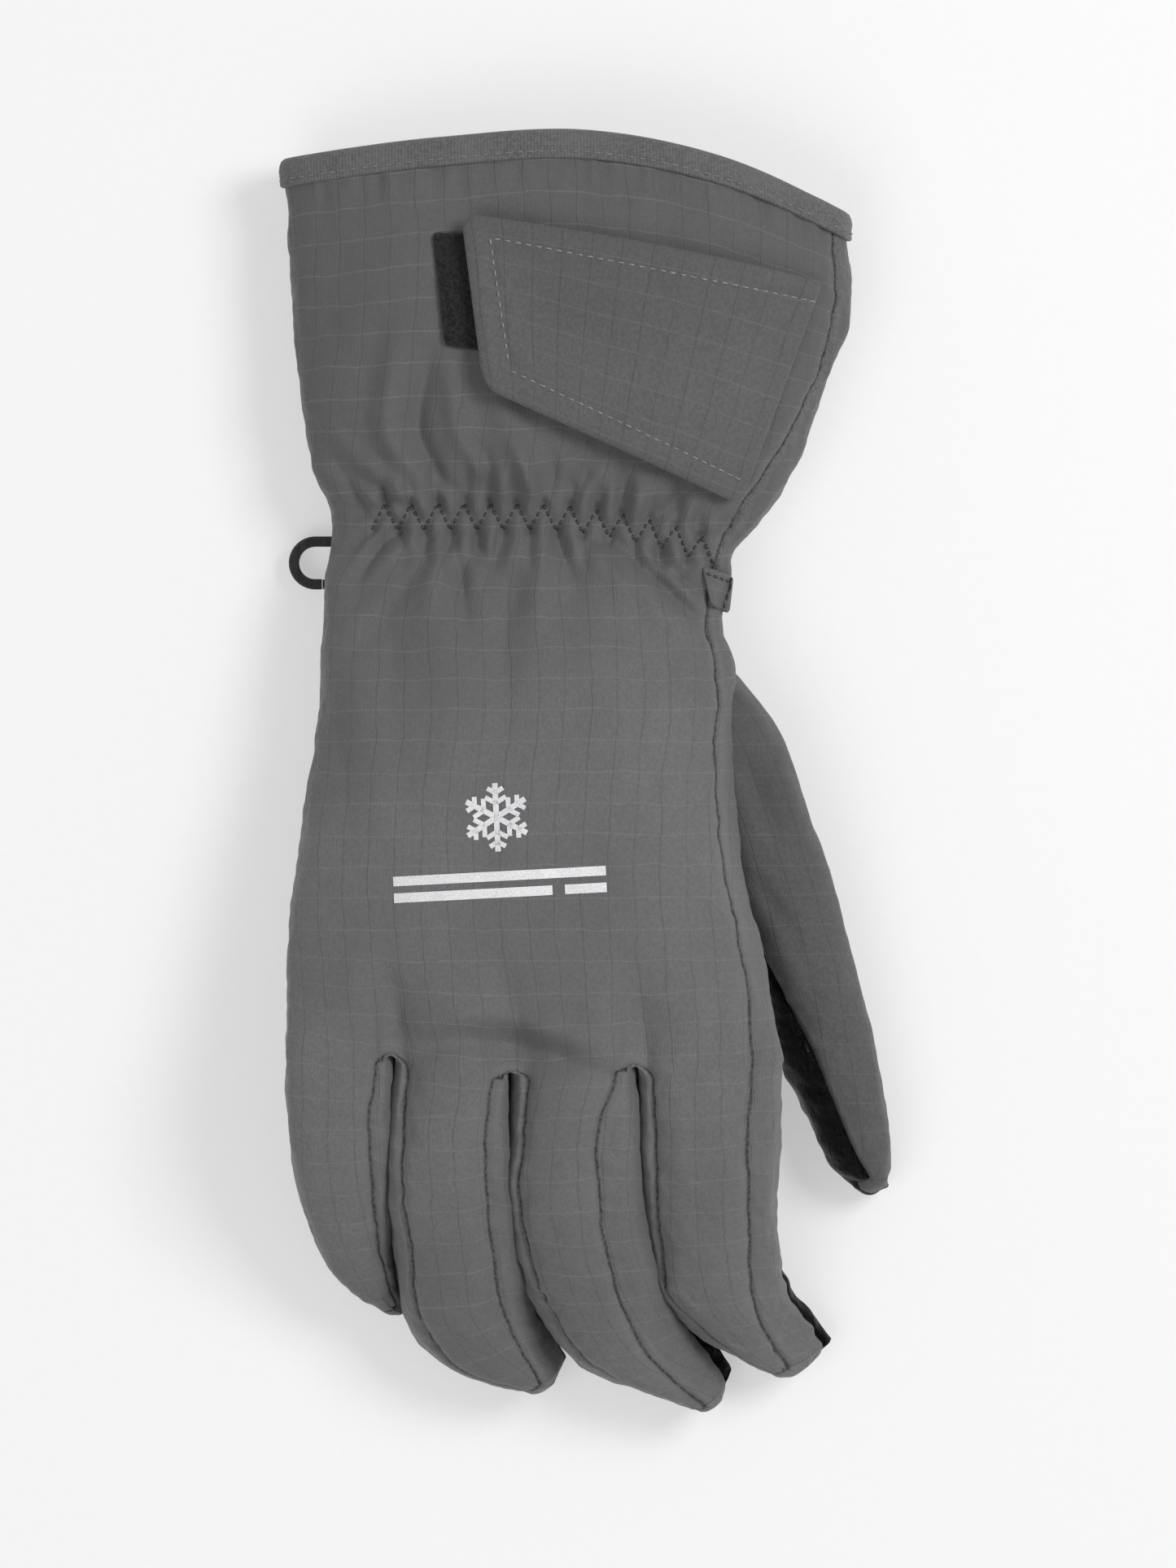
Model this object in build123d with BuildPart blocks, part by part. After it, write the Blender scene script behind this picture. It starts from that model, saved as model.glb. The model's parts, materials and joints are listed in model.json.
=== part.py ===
"""A padded ski glove for the right hand, lying palm down with its fingers relaxed.

Millimetres. +Z is up through the back of the hand, +Y runs towards the cuff and +X towards the thumb.
The origin is under the middle of the glove, on the surface that it rests on.
"""

import os
from functools import partial
from math import cos, radians, sin

from build123d import *

# ---------------------------------------------------------------- driving dimensions
SHELL = 1.0  # outer fabric and leather of the hand and gauntlet
PADDING = 2.75  # wadding of the hand and gauntlet
LINING = 0.7  # brushed lining
LAY = 0.15  # air between two layers
SEAM = 0.1  # air between two panels at a seam

FINGER_SHELL = 0.8
FINGER_PADDING = 1.6
FINGER_LINING = 0.6
FINGER_CAVITY = FINGER_SHELL + FINGER_PADDING + FINGER_LINING + 2 * LAY

WRIST_Y = 62.0  # the elasticated waist, where hand and gauntlet meet
KNUCKLE_Y = -69.0  # front wall of the hand, where the fingers start
JOINT_AIR = 0.3  # clearance each side of the wrist and of a finger root
BODY_HEIGHT = 80.0  # taller than the glove, for cutting forms

ROUNDNESS = 0.42  # corner radius of a section, as a share of its height
FINGER_ROLL = 25.0  # degrees that the fingers lean towards the thumb at the knuckles

# Cross-sections, each as (y, little-finger edge, thumb edge, underside, top).
GAUNTLET_SECTIONS = [
    (54, -59, 41, 7.5, 30),
    (73, -65, 48, 3.5, 31.5),
    (93, -69, 55.5, 0, 32.5),
    (118, -71.5, 62, -0.5, 33),
    (140, -73, 64, 0.9, 32.5),
    (165, -74, 66, 1.5, 32),
]
HAND_SECTIONS = [
    (72, -57, 39, 7, 30),
    (50, -61, 34, 7, 32),
    (28, -64, 32, 7.5, 37),
    (0, -67, 31.5, 9, 43.5),
    (-35, -71, 37.5, 13, 48.5),
    (KNUCKLE_Y, -72.5, 46, 18.5, 51.5),
]
FORK_WIDTH = 8.0  # the web of fabric between two fingers
FORK_THICKNESS = 1.0

# The edge of the cuff, from the little-finger side to the thumb side.
MOUTH_LINE = [
    (-90, 144),
    (-73.4, 147.5),
    (-35, 152.3),
    (1.4, 153.2),
    (41.4, 146.2),
    (63.6, 132.5),
    (80, 118),
]
BINDING_WIDTH = 6.0
BINDING_THICKNESS = 0.7

# Seams of the gauntlet and hand, seen from above.
GUSSET_LINE = [(61.5, 150), (57.2, 121.4), (37.6, 70.7), (33, 55)]
RADIAL_SEAM = [(33, 75), (28.5, 28), (28.5, 0), (33.5, -35), (41, -75)]
ULNAR_SEAM = [(-54, 75), (-60, 28), (-63.5, 0), (-67.5, -35), (-69, -75)]
GAUNTLET_SEAM_Z = 16.0
GUSSET_SEAM_Z = 6.0
SIDE_SEAM_DROP = 10.0  # the leather starts this far under the back panel's edge
PALM_SEAM = [(80, 16.7), (-90, 38.0)]  # (y, z) of the line between back and palm

ELASTIC_WIDTH = 8.0

# The closing flap on the back of the gauntlet, seen from above, from its sewn edge round its free end.
FLAP_OUTLINE = [
    (57.0, 121.2),
    (13.2, 131.9),
    (-26.5, 137.8),
    (-30.8, 135.2),
    (-25.5, 97.4),
    (-21.2, 94.1),
    (35.2, 66.2),
    (37.4, 70.9),
]
LOOP_OUTLINE = [(-37.4, 133.4), (28, 126), (20, 82), (-26, 101), (-34.6, 106.2)]
HOOK_OUTLINE = [(-27.5, 133), (6, 128), (9, 87), (-22, 99)]
LOOP_THICKNESS = 0.6
HOOK_THICKNESS = 0.5
FLAP_LINING = 0.4
FLAP_OUTER = 0.8
FLAP_AIR = 0.1
PATCH_AIR = 0.06  # air under the loop patch

# Fingers: the path of the middle of each, its width and height at the knuckle, and its lean at the tip.
FINGERS = {
    "little": (
        [(-60, KNUCKLE_Y, 35), (-59.8, -90, 31.5), (-56.5, -106, 21.5), (-51, -118, 12.5)],
        (21, 22),
        32,
    ),
    "ring": (
        [(-33, KNUCKLE_Y, 35), (-33, -93, 31.5), (-29, -113, 22.5), (-21.5, -129, 13.5), (-17.5, -134, 12)],
        (22.5, 23),
        35,
    ),
    "middle": (
        [(-4.5, KNUCKLE_Y, 35), (-3.6, -95, 31.5), (2.5, -116, 23), (12, -133, 14), (20.5, -145.4, 12)],
        (23.5, 23),
        37,
    ),
    "index": (
        [(28.8, KNUCKLE_Y, 35), (30, -94, 32), (35, -114, 24), (44, -129.5, 14.5), (49.5, -135.5, 12)],
        (25, 23),
        35,
    ),
}
TIP_SHARE = 0.86  # a fingertip's width and height, as a share of those at the knuckle
DOME_SHARE = 0.62  # the same at the end of its rounded tip
DOME_LENGTH = 4.5
FINGER_SECTIONS = 5
ROOT_RUN = 12.0  # how far a finger's form runs back into the hand
KNUCKLE_Z = 35.0
KNUCKLE_RADIUS = 13.0  # the root of a finger is rounded about its hinge
THUMB_RADIUS = 12.0

# Thumb
THUMB_PATH = [(43.8, -14, 12.4), (51.8, -38, 12.2), (57.6, -64, 12), (63, -92, 11.4)]
THUMB_SIZE = (22, 22)
THUMB_ROLL = -35.0
SADDLE_PATH = [(24, 43, 19), (33.5, 16, 13.6)]  # from inside the hand to the thumb's root
SADDLE_SIZES = [(11, 12), (21, 21)]

# Plastic clip that holds the pair together, and its webbing
CLIP_END_X = -72.8
CLIP_Y = 53.8
CLIP_LENGTH = 36.0
CLIP_WIDTH = 12.9
CLIP_BAR = 2.5
CLIP_THICKNESS = 4.0
CLIP_BOTTOM = 2.2
EYE_LENGTH = 21.5
CROSS_BAR = 2.5
GATE_START = 8.0
GATE_PIVOT = 21.5
GATE_AIR = 0.2
PIN_RADIUS = 0.6
PIN_CLEARANCE = 0.05
FORK_GAP = 1.8  # height of the slot in the frame that holds the gate's tongue
WEBBING = 1.2
WEBBING_WIDTH = 5.0


# ---------------------------------------------------------------- forms
def save(piece, name):
    """Labels a finished piece and writes it."""
    piece.part.label = name
    export_step(piece.part, f"parts/{name}.step")


def skin(frames, sizes, side=0.0, top=0.0, bottom=0.0):
    """A solid through one rounded section per frame, drawn in by the given insets."""
    with BuildPart() as form:
        for frame, (width, height) in zip(frames, sizes):
            with BuildSketch(frame):
                with Locations((0, (bottom - top) / 2)):
                    corner = max(ROUNDNESS * height - max(side, top), 1.5)
                    RectangleRounded(width - 2 * side, height - top - bottom, corner)
        loft()
    return form.part


def tube(sections, inset=0.0):
    """The gauntlet's or hand's form, drawn in all round."""
    frames, sizes = [], []
    for y, left, right, low, high in sections:
        centre = ((left + right) / 2, y, (low + high) / 2)
        frames.append(Plane(centre, x_dir=(1, 0, 0), z_dir=(0, -1, 0)))
        sizes.append((right - left, high - low))
    return skin(frames, sizes, inset, inset, inset)


def lean(roll, along):
    """Direction across a finger's width, square to its path."""
    across = Vector(cos(radians(roll)), 0, sin(radians(roll)))
    return (across - along * across.dot(along)).normalized()


def digit_frames(path, size, rolls, first_along=None, run_back=0.0, tip=0.0):
    """Frames and sizes along a digit, from run_back behind its root to a domed end tip short of its path."""
    with BuildLine() as line:
        if first_along:
            Spline(*path, tangents=(first_along, Vector(*path[-1]) - Vector(*path[-2])))
        else:
            Spline(*path)
    curve = line.wire()
    frames, sizes = [], []
    for step in range(FINGER_SECTIONS):
        share = step / (FINGER_SECTIONS - 1)
        along = curve.tangent_at(share)
        centre = curve.position_at(share) - along * (tip if share == 1 else 0)
        across = lean(rolls[0] + (rolls[1] - rolls[0]) * share**2, along)
        scale = 1 - (1 - TIP_SHARE) * share**2
        frames.append(Plane(centre, x_dir=across, z_dir=along))
        sizes.append((size[0] * scale, size[1] * scale))
    end = frames[-1]
    frames.append(Plane(end.origin + end.z_dir * DOME_LENGTH, x_dir=end.x_dir, z_dir=end.z_dir))
    sizes.append((size[0] * DOME_SHARE, size[1] * DOME_SHARE))
    if run_back:
        root = frames[0]
        frames.insert(0, Plane(root.origin - root.z_dir * run_back, x_dir=root.x_dir, z_dir=root.z_dir))
        sizes.insert(0, size)
    return frames, sizes


def half_space(corner, size):
    """A box from its lowest corner, used to trim other solids."""
    with BuildPart() as box:
        with Locations(corner):
            Box(*size, align=(Align.MIN, Align.MIN, Align.MIN))
    return box.part


def prism(outline, low=-20.0, high=BODY_HEIGHT):
    """A straight-sided solid on an outline seen from above."""
    with BuildPart() as solid:
        with BuildSketch(Plane.XY.offset(low)):
            with BuildLine():
                Polyline(*outline, close=True)
            make_face()
        extrude(amount=high - low)
    return solid.part


def below_mouth(shift):
    """Everything on the wrist side of the cuff's edge, moved along Y by shift."""
    with BuildPart() as region:
        with BuildSketch(Plane.XY.offset(-20)):
            with BuildLine():
                edge = Spline(*[(x, y + shift) for x, y in MOUTH_LINE])
                start = WRIST_Y + JOINT_AIR
                Polyline(edge @ 1, (MOUTH_LINE[-1][0], start), (MOUTH_LINE[0][0], start), edge @ 0)
            make_face()
        extrude(amount=20 + BODY_HEIGHT)
    return region.part


def between(outer, inner, *limits, holes=()):
    """The layer between two forms, kept inside the limits and cut by the holes."""
    with BuildPart() as layer:
        add(outer)
        add(inner, mode=Mode.SUBTRACT)
        for limit in limits:
            add(limit, mode=Mode.INTERSECT)
        for hole in holes:
            add(hole, mode=Mode.SUBTRACT)
    return layer.part


def export_panel(name, layer, *limits, without=()):
    """Cuts one panel out of a layer and writes it."""
    with BuildPart() as panel:
        add(layer)
        for limit in limits:
            add(limit, mode=Mode.INTERSECT)
        for other in without:
            add(other, mode=Mode.SUBTRACT)
    save(panel, name)


def right_of(line, shift=0.0):
    """Everything on the thumb side of a line seen from above, given from the cuff towards the fingers."""
    return prism([(x + shift, y) for x, y in line] + [(120, line[-1][1]), (120, line[0][1])])


def left_of(line, shift=0.0):
    """Everything on the little-finger side of a line seen from above."""
    return prism([(x + shift, y) for x, y in line] + [(-120, line[-1][1]), (-120, line[0][1])])


def above_palm_seam(drop):
    """Everything above the line between the back and the palm of the hand, lowered by drop."""
    (y0, z0), (y1, z1) = PALM_SEAM
    with BuildPart() as region:
        with BuildSketch(Plane.YZ.offset(-120)):
            with BuildLine():
                Polyline((y0, z0 - drop), (y0, BODY_HEIGHT), (y1, BODY_HEIGHT), (y1, z1 - drop), close=True)
            make_face()
        extrude(amount=240)
    return region.part


os.makedirs("parts", exist_ok=True)
ABOVE_FLOOR = half_space((-200, -200, 0), (400, 400, 100))
PADDING_IN = SHELL + LAY
LINING_OUT = PADDING_IN + PADDING + LAY
CAVITY = LINING_OUT + LINING


# ---------------------------------------------------------------- gauntlet
cuff = below_mouth(0)
gauntlet_shell = between(tube(GAUNTLET_SECTIONS), tube(GAUNTLET_SECTIONS, SHELL), cuff, ABOVE_FLOOR)
gusset_side = right_of(GUSSET_LINE)
above_gusset_seam = half_space((-200, -200, GUSSET_SEAM_Z), (400, 400, BODY_HEIGHT))
above_side_seam = half_space((-200, -200, GAUNTLET_SEAM_Z), (400, 400, BODY_HEIGHT))

export_panel("gauntlet_back", gauntlet_shell, above_side_seam, without=[gusset_side])
export_panel("gauntlet_gusset", gauntlet_shell, right_of(GUSSET_LINE, SEAM), above_gusset_seam)
below_gusset = half_space((-200, -200, -50), (400, 400, 50 + GUSSET_SEAM_Z - SEAM))
below_side = half_space((-200, -200, -50), (400, 400, 50 + GAUNTLET_SEAM_Z - SEAM))
with BuildPart() as palm_zone:
    add(left_of(GUSSET_LINE, -SEAM))
    add(below_side, mode=Mode.INTERSECT)
    add(below_gusset)
export_panel("gauntlet_palm", gauntlet_shell, palm_zone.part)

elastic_end = WRIST_Y + JOINT_AIR + ELASTIC_WIDTH
past_elastic = half_space((-200, elastic_end + 0.5, -50), (400, 200, 200))
before_elastic = half_space((-200, 0, -50), (400, elastic_end, 200))
padding_outer = tube(GAUNTLET_SECTIONS, PADDING_IN)
export_panel(
    "gauntlet_padding",
    between(padding_outer, tube(GAUNTLET_SECTIONS, PADDING_IN + PADDING), cuff),
    past_elastic,
)
export_panel(
    "wrist_elastic",
    between(padding_outer, tube(GAUNTLET_SECTIONS, PADDING_IN + WEBBING), cuff),
    before_elastic,
)
with BuildPart() as gauntlet_lining:
    add(between(tube(GAUNTLET_SECTIONS, LINING_OUT), tube(GAUNTLET_SECTIONS, CAVITY), cuff))
save(gauntlet_lining, "gauntlet_lining")

# The binding folds over the cuff's edge, so its section is a U round all the layers.
binding_outer = tube(GAUNTLET_SECTIONS, -BINDING_THICKNESS)
binding_inner = tube(GAUNTLET_SECTIONS, CAVITY + BINDING_THICKNESS)
layers_outer = tube(GAUNTLET_SECTIONS, -SEAM)
layers_inner = tube(GAUNTLET_SECTIONS, CAVITY + SEAM)
layers = between(layers_outer, layers_inner, below_mouth(SEAM))
with BuildPart() as cuff_binding:
    add(between(binding_outer, binding_inner, below_mouth(BINDING_THICKNESS), ABOVE_FLOOR))
    add(below_mouth(-BINDING_WIDTH), mode=Mode.SUBTRACT)
    add(layers, mode=Mode.SUBTRACT)
save(cuff_binding, "cuff_binding")


# ---------------------------------------------------------------- closing flap
def patch(name, outline, low, thickness):
    """A flat piece that follows the back of the gauntlet, low above it."""
    outer = tube(GAUNTLET_SECTIONS, -(low + thickness))
    inner = tube(GAUNTLET_SECTIONS, -low)
    export_panel(name, between(outer, inner, prism(outline, GAUNTLET_SEAM_Z)))


hook_level = PATCH_AIR + LOOP_THICKNESS + FLAP_AIR
lining_level = hook_level + HOOK_THICKNESS + PATCH_AIR
patch("loop_patch", LOOP_OUTLINE, PATCH_AIR, LOOP_THICKNESS)
patch("flap_hook_tape", HOOK_OUTLINE, hook_level, HOOK_THICKNESS)
patch("flap_lining", FLAP_OUTLINE, lining_level, FLAP_LINING)
patch("flap_outer", FLAP_OUTLINE, lining_level + FLAP_LINING + PATCH_AIR, FLAP_OUTER)


# ---------------------------------------------------------------- fingers
def finger_frames(name, run_back=0.0, tip=0.0):
    path, size, tip_roll = FINGERS[name]
    rolls = (FINGER_ROLL, tip_roll)
    return digit_frames(path, size, rolls, Vector(0, -1, 0), run_back, tip)


def thumb_frames(run_back=0.0, tip=0.0):
    rolls = (THUMB_ROLL, THUMB_ROLL)
    return digit_frames(THUMB_PATH, THUMB_SIZE, rolls, None, run_back, tip)


def digit_form(frames_of, inset, tip):
    return skin(*frames_of(ROOT_RUN, tip), inset, inset, inset)


def corner_strip(frames_of, start, end):
    """A form over a finger's back, from start to end above the middle of its height, as shares of it."""
    frames, sizes = frames_of(ROOT_RUN, -10)
    with BuildPart() as strip:
        for frame, (width, height) in zip(frames, sizes):
            with BuildSketch(frame):
                with Locations((0, height * (start + end) / 2)):
                    Rectangle(width * 1.3, height * (end - start))
        loft()
    return strip.part


def build_digit(name, frames_of, limits, panels):
    """Writes a digit's panels, wadding and lining. A panel is a name, forms to lie in and forms to avoid."""
    form = [digit_form(frames_of, inset, inset) for inset in (0, FINGER_SHELL)]
    shell = between(*form, *limits)
    for panel, inside, outside in panels:
        export_panel(f"{name}_{panel}", shell, *inside, without=outside)
    for layer, start, thick in (
        ("padding", FINGER_SHELL + LAY, FINGER_PADDING),
        ("lining", FINGER_SHELL + FINGER_PADDING + 2 * LAY, FINGER_LINING),
    ):
        outer = digit_form(frames_of, start, start)
        inner = digit_form(frames_of, start + thick, start + thick)
        export_panel(f"{name}_{layer}", between(outer, inner, *limits))


BACK_EDGE, OUTSIDE = 0.32, 0.62  # shares of a finger's height
SEAM_SHARE = SEAM / 20
knuckle_y = KNUCKLE_Y - JOINT_AIR - KNUCKLE_RADIUS
with BuildPart() as knuckle_zone:
    with BuildSketch(Plane.YZ):
        with Locations((knuckle_y, KNUCKLE_Z)):
            Rectangle(200, 200, align=(Align.MAX, Align.CENTER))
            Circle(KNUCKLE_RADIUS)
    extrude(amount=200, both=True)
past_knuckles = knuckle_zone.part

for finger in FINGERS:
    frames_of = partial(finger_frames, finger)
    over_back = corner_strip(frames_of, BACK_EDGE, OUTSIDE)
    over_palm = corner_strip(frames_of, -OUTSIDE, -BACK_EDGE)
    clear_of_back = corner_strip(frames_of, BACK_EDGE - SEAM_SHARE, OUTSIDE)
    clear_of_palm = corner_strip(frames_of, -OUTSIDE, -BACK_EDGE + SEAM_SHARE)
    build_digit(
        finger,
        frames_of,
        [past_knuckles, ABOVE_FLOOR],
        [
            ("back", [over_back], []),
            ("gusset", [], [clear_of_back, clear_of_palm]),
            ("palm", [over_palm], []),
        ],
    )

# ---------------------------------------------------------------- thumb
thumb_root = thumb_frames()[0][0]
thumb_along = Vector(thumb_root.z_dir.X, thumb_root.z_dir.Y, 0).normalized()
thumb_hinge = thumb_root.origin + thumb_along * THUMB_RADIUS
with BuildPart() as thumb_zone:
    with BuildSketch(Plane((thumb_hinge.X, thumb_hinge.Y, -20), x_dir=thumb_along, z_dir=(0, 0, 1))):
        Rectangle(150, 90, align=(Align.MIN, Align.CENTER))
        Circle(THUMB_RADIUS)
    extrude(amount=BODY_HEIGHT)
past_root = thumb_zone.part


def thumb_side(shift):
    """Everything on the back and outer side of the thumb, past a slanting line moved by shift."""
    frames, sizes = thumb_frames(ROOT_RUN, -10)
    with BuildPart() as region:
        for frame, (width, _) in zip(frames, sizes):
            with BuildSketch(frame):
                with BuildLine():
                    start, end = (-0.42 * width + shift, width), (width, -0.36 * width + shift)
                    Polyline(start, (width, width), end, close=True)
                make_face()
        loft()
    return region.part


build_digit(
    "thumb",
    thumb_frames,
    [past_root, ABOVE_FLOOR],
    [("back", [thumb_side(SEAM)], []), ("palm", [], [thumb_side(0)])],
)

# ---------------------------------------------------------------- hand
saddle_frames = [
    Plane(point, x_dir=lean(THUMB_ROLL, thumb_root.z_dir), z_dir=thumb_root.z_dir) for point in SADDLE_PATH
]


def saddle_form(inset):
    """The thumb's form run back into the hand."""
    end = thumb_root.origin - thumb_root.z_dir * 2 * JOINT_AIR
    root = Plane(end, x_dir=thumb_root.x_dir, z_dir=thumb_root.z_dir)
    return skin([*saddle_frames, root], [*SADDLE_SIZES, THUMB_SIZE], inset, inset, inset)


before_wrist = half_space((-200, -300 + WRIST_Y - JOINT_AIR, -50), (400, 300, 200))
past_front = half_space((-200, KNUCKLE_Y, -50), (400, 300, 200))
saddle_hole = saddle_form(FINGER_CAVITY)
HAND_RUN = [*HAND_SECTIONS, (KNUCKLE_Y - 15, -73.5, 48, 21, 53)]


def hand_layer(inset, thickness):
    """One layer of the hand, open at the wrist, at the knuckles and into the thumb."""
    outer = tube(HAND_RUN, inset)
    inner = tube(HAND_RUN, inset + thickness)
    return between(outer, inner, before_wrist, past_front, holes=[saddle_hole])


hand_shell = hand_layer(0, SHELL)
above_seam = above_palm_seam(0)
radial, ulnar = right_of(RADIAL_SEAM), left_of(ULNAR_SEAM)
above_leather = above_palm_seam(SIDE_SEAM_DROP)
export_panel("hand_back", hand_shell, above_seam, without=[radial, ulnar])
export_panel("hand_side_radial", hand_shell, right_of(RADIAL_SEAM, SEAM), above_leather)
export_panel("hand_side_ulnar", hand_shell, left_of(ULNAR_SEAM, -SEAM), above_leather)
with BuildPart() as hand_palm:
    add(hand_shell)
    add(above_palm_seam(SEAM), mode=Mode.SUBTRACT)
    with BuildPart(mode=Mode.PRIVATE) as side_zones:
        add(right_of(RADIAL_SEAM, -SEAM))
        add(left_of(ULNAR_SEAM, SEAM))
        add(above_palm_seam(SIDE_SEAM_DROP + SEAM), mode=Mode.INTERSECT)
    add(side_zones.part, mode=Mode.SUBTRACT)
save(hand_palm, "hand_palm")

with BuildPart() as hand_padding:
    add(hand_layer(PADDING_IN, PADDING))
save(hand_padding, "hand_padding")
with BuildPart() as hand_lining:
    add(hand_layer(LINING_OUT, LINING))
save(hand_lining, "hand_lining")

# One web between each finger and the next, sewn across the front of the hand.
roots = [path[0][0] for path, _, _ in FINGERS.values()]
fork_low, fork_high = HAND_SECTIONS[-1][3] + CAVITY, HAND_SECTIONS[-1][4] - CAVITY
with BuildPart() as finger_forks:
    for left, right in zip(roots, roots[1:]):
        with Locations(((left + right) / 2, KNUCKLE_Y + FORK_THICKNESS / 2, (fork_low + fork_high) / 2)):
            Box(FORK_WIDTH, FORK_THICKNESS, fork_high - fork_low - 2 * SEAM)
save(finger_forks, "finger_forks")

outside_hand = tube(HAND_RUN, -SEAM)
with BuildPart() as thumb_saddle:
    add(between(saddle_form(0), saddle_form(SHELL), ABOVE_FLOOR))
    add(outside_hand, mode=Mode.SUBTRACT)
save(thumb_saddle, "thumb_saddle")
with BuildPart() as saddle_padding:
    add(between(saddle_form(PADDING_IN), saddle_form(FINGER_CAVITY), ABOVE_FLOOR))
    add(outside_hand, mode=Mode.SUBTRACT)
save(saddle_padding, "thumb_saddle_padding")

# ---------------------------------------------------------------- clip
clip_plane = Plane((CLIP_END_X, CLIP_Y, CLIP_BOTTOM))
pivot_x = CLIP_LENGTH - CLIP_WIDTH / 2
slot_start = CLIP_BAR + EYE_LENGTH + CROSS_BAR
outer_radius = CLIP_WIDTH / 2
inner_radius = outer_radius - CLIP_BAR
bar_middle = -(outer_radius - CLIP_BAR / 2)
fork_start = GATE_PIVOT - 2.0


def slot_between(start, end, radius):
    """A rounded slot along the clip, in the clip's own plane."""
    with Locations(((start + end) / 2, 0)):
        SlotOverall(end - start, 2 * radius)


with BuildPart() as clip_frame:
    with BuildSketch(clip_plane):
        slot_between(0, CLIP_LENGTH, outer_radius)
        with Locations((CLIP_BAR + EYE_LENGTH / 2, 0)):
            SlotOverall(EYE_LENGTH, 2 * inner_radius, mode=Mode.SUBTRACT)
        with Locations(((slot_start + pivot_x) / 2, 0)):
            Rectangle(pivot_x - slot_start, 2 * inner_radius, mode=Mode.SUBTRACT)
        with Locations((pivot_x, 0)):
            Circle(inner_radius, mode=Mode.SUBTRACT)
    extrude(amount=CLIP_THICKNESS)
    chamfer(clip_frame.faces().sort_by(Axis.Z)[-1].outer_wire().edges(), 0.5)
    chamfer(clip_frame.faces().sort_by(Axis.Z)[0].outer_wire().edges(), 0.5)
    with BuildSketch(clip_plane):
        with Locations(((GATE_START + fork_start) / 2, -outer_radius)):
            Rectangle(fork_start - GATE_START, 2 * CLIP_BAR + 0.5)
    extrude(amount=CLIP_THICKNESS, mode=Mode.SUBTRACT)
    with BuildSketch(clip_plane.offset((CLIP_THICKNESS - FORK_GAP) / 2)):
        with Locations(((fork_start + GATE_PIVOT + 2.2) / 2, -outer_radius)):
            Rectangle(GATE_PIVOT + 2.2 - fork_start, 2 * CLIP_BAR + 0.5)
    extrude(amount=FORK_GAP, mode=Mode.SUBTRACT)
    with BuildSketch(clip_plane):
        with Locations((GATE_PIVOT, bar_middle)):
            Circle(PIN_RADIUS)
    extrude(amount=CLIP_THICKNESS, mode=Mode.SUBTRACT)
save(clip_frame, "clip_frame")

tongue = FORK_GAP - 2 * GATE_AIR
with BuildPart() as clip_gate:
    gate_end = fork_start - 2 * GATE_AIR
    with BuildSketch(clip_plane.offset(GATE_AIR)):
        with Locations(((GATE_START + GATE_AIR + gate_end) / 2, bar_middle)):
            Rectangle(gate_end - GATE_START - GATE_AIR, CLIP_BAR - GATE_AIR)
    extrude(amount=CLIP_THICKNESS - 2 * GATE_AIR)
    fillet(clip_gate.edges().filter_by(Axis.X), 0.4)
    with BuildSketch(clip_plane.offset((CLIP_THICKNESS - tongue) / 2)):
        with Locations(((gate_end - 1 + GATE_PIVOT) / 2, bar_middle)):
            Rectangle(GATE_PIVOT - gate_end + 1, CLIP_BAR - 2 * GATE_AIR)
        with Locations((GATE_PIVOT, bar_middle)):
            Circle(CLIP_BAR / 2 - GATE_AIR)
    extrude(amount=tongue)
    with BuildSketch(clip_plane):
        with Locations((GATE_PIVOT, bar_middle)):
            Circle(PIN_RADIUS + PIN_CLEARANCE)
    extrude(amount=CLIP_THICKNESS, mode=Mode.SUBTRACT)
save(clip_gate, "clip_gate")

with BuildPart() as clip_pin:
    with BuildSketch(clip_plane.offset(0.1)):
        with Locations((GATE_PIVOT, bar_middle)):
            Circle(PIN_RADIUS)
    extrude(amount=CLIP_THICKNESS - 0.2)
save(clip_pin, "clip_pin")

# The webbing passes up through the clip's slot, round its end bar, and is sewn to the hand's underside.
strap_inner = CLIP_END_X + pivot_x + 0.8
strap_outer = CLIP_END_X + CLIP_LENGTH + 0.25
strap_low = CLIP_BOTTOM - 0.3 - WEBBING
strap_top = HAND_SECTIONS[1][3] - 0.1
with BuildPart() as clip_webbing:
    with BuildSketch(Plane.XZ.offset(-CLIP_Y)):
        with BuildLine():
            Polyline(
                (strap_inner, strap_top),
                (strap_inner, strap_low),
                (strap_outer + WEBBING, strap_low),
                (strap_outer + WEBBING, strap_top),
                (strap_outer, strap_top),
                (strap_outer, strap_low + WEBBING),
                (strap_inner + WEBBING, strap_low + WEBBING),
                (strap_inner + WEBBING, strap_top),
                close=True,
            )
        make_face()
    extrude(amount=WEBBING_WIDTH / 2, both=True)
save(clip_webbing, "clip_webbing")
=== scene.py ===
"""A padded ski glove with a gauntlet cuff, a closing flap and a pairing clip, built round its CAD model.

Lengths are in millimetres until a mesh is made. +Z is up through the back of the hand and +Y is towards
the cuff.
"""
import json
import math

import bpy
import numpy as np
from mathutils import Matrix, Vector, noise
from mathutils.bvhtree import BVHTree
from mathutils.kdtree import KDTree


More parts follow.
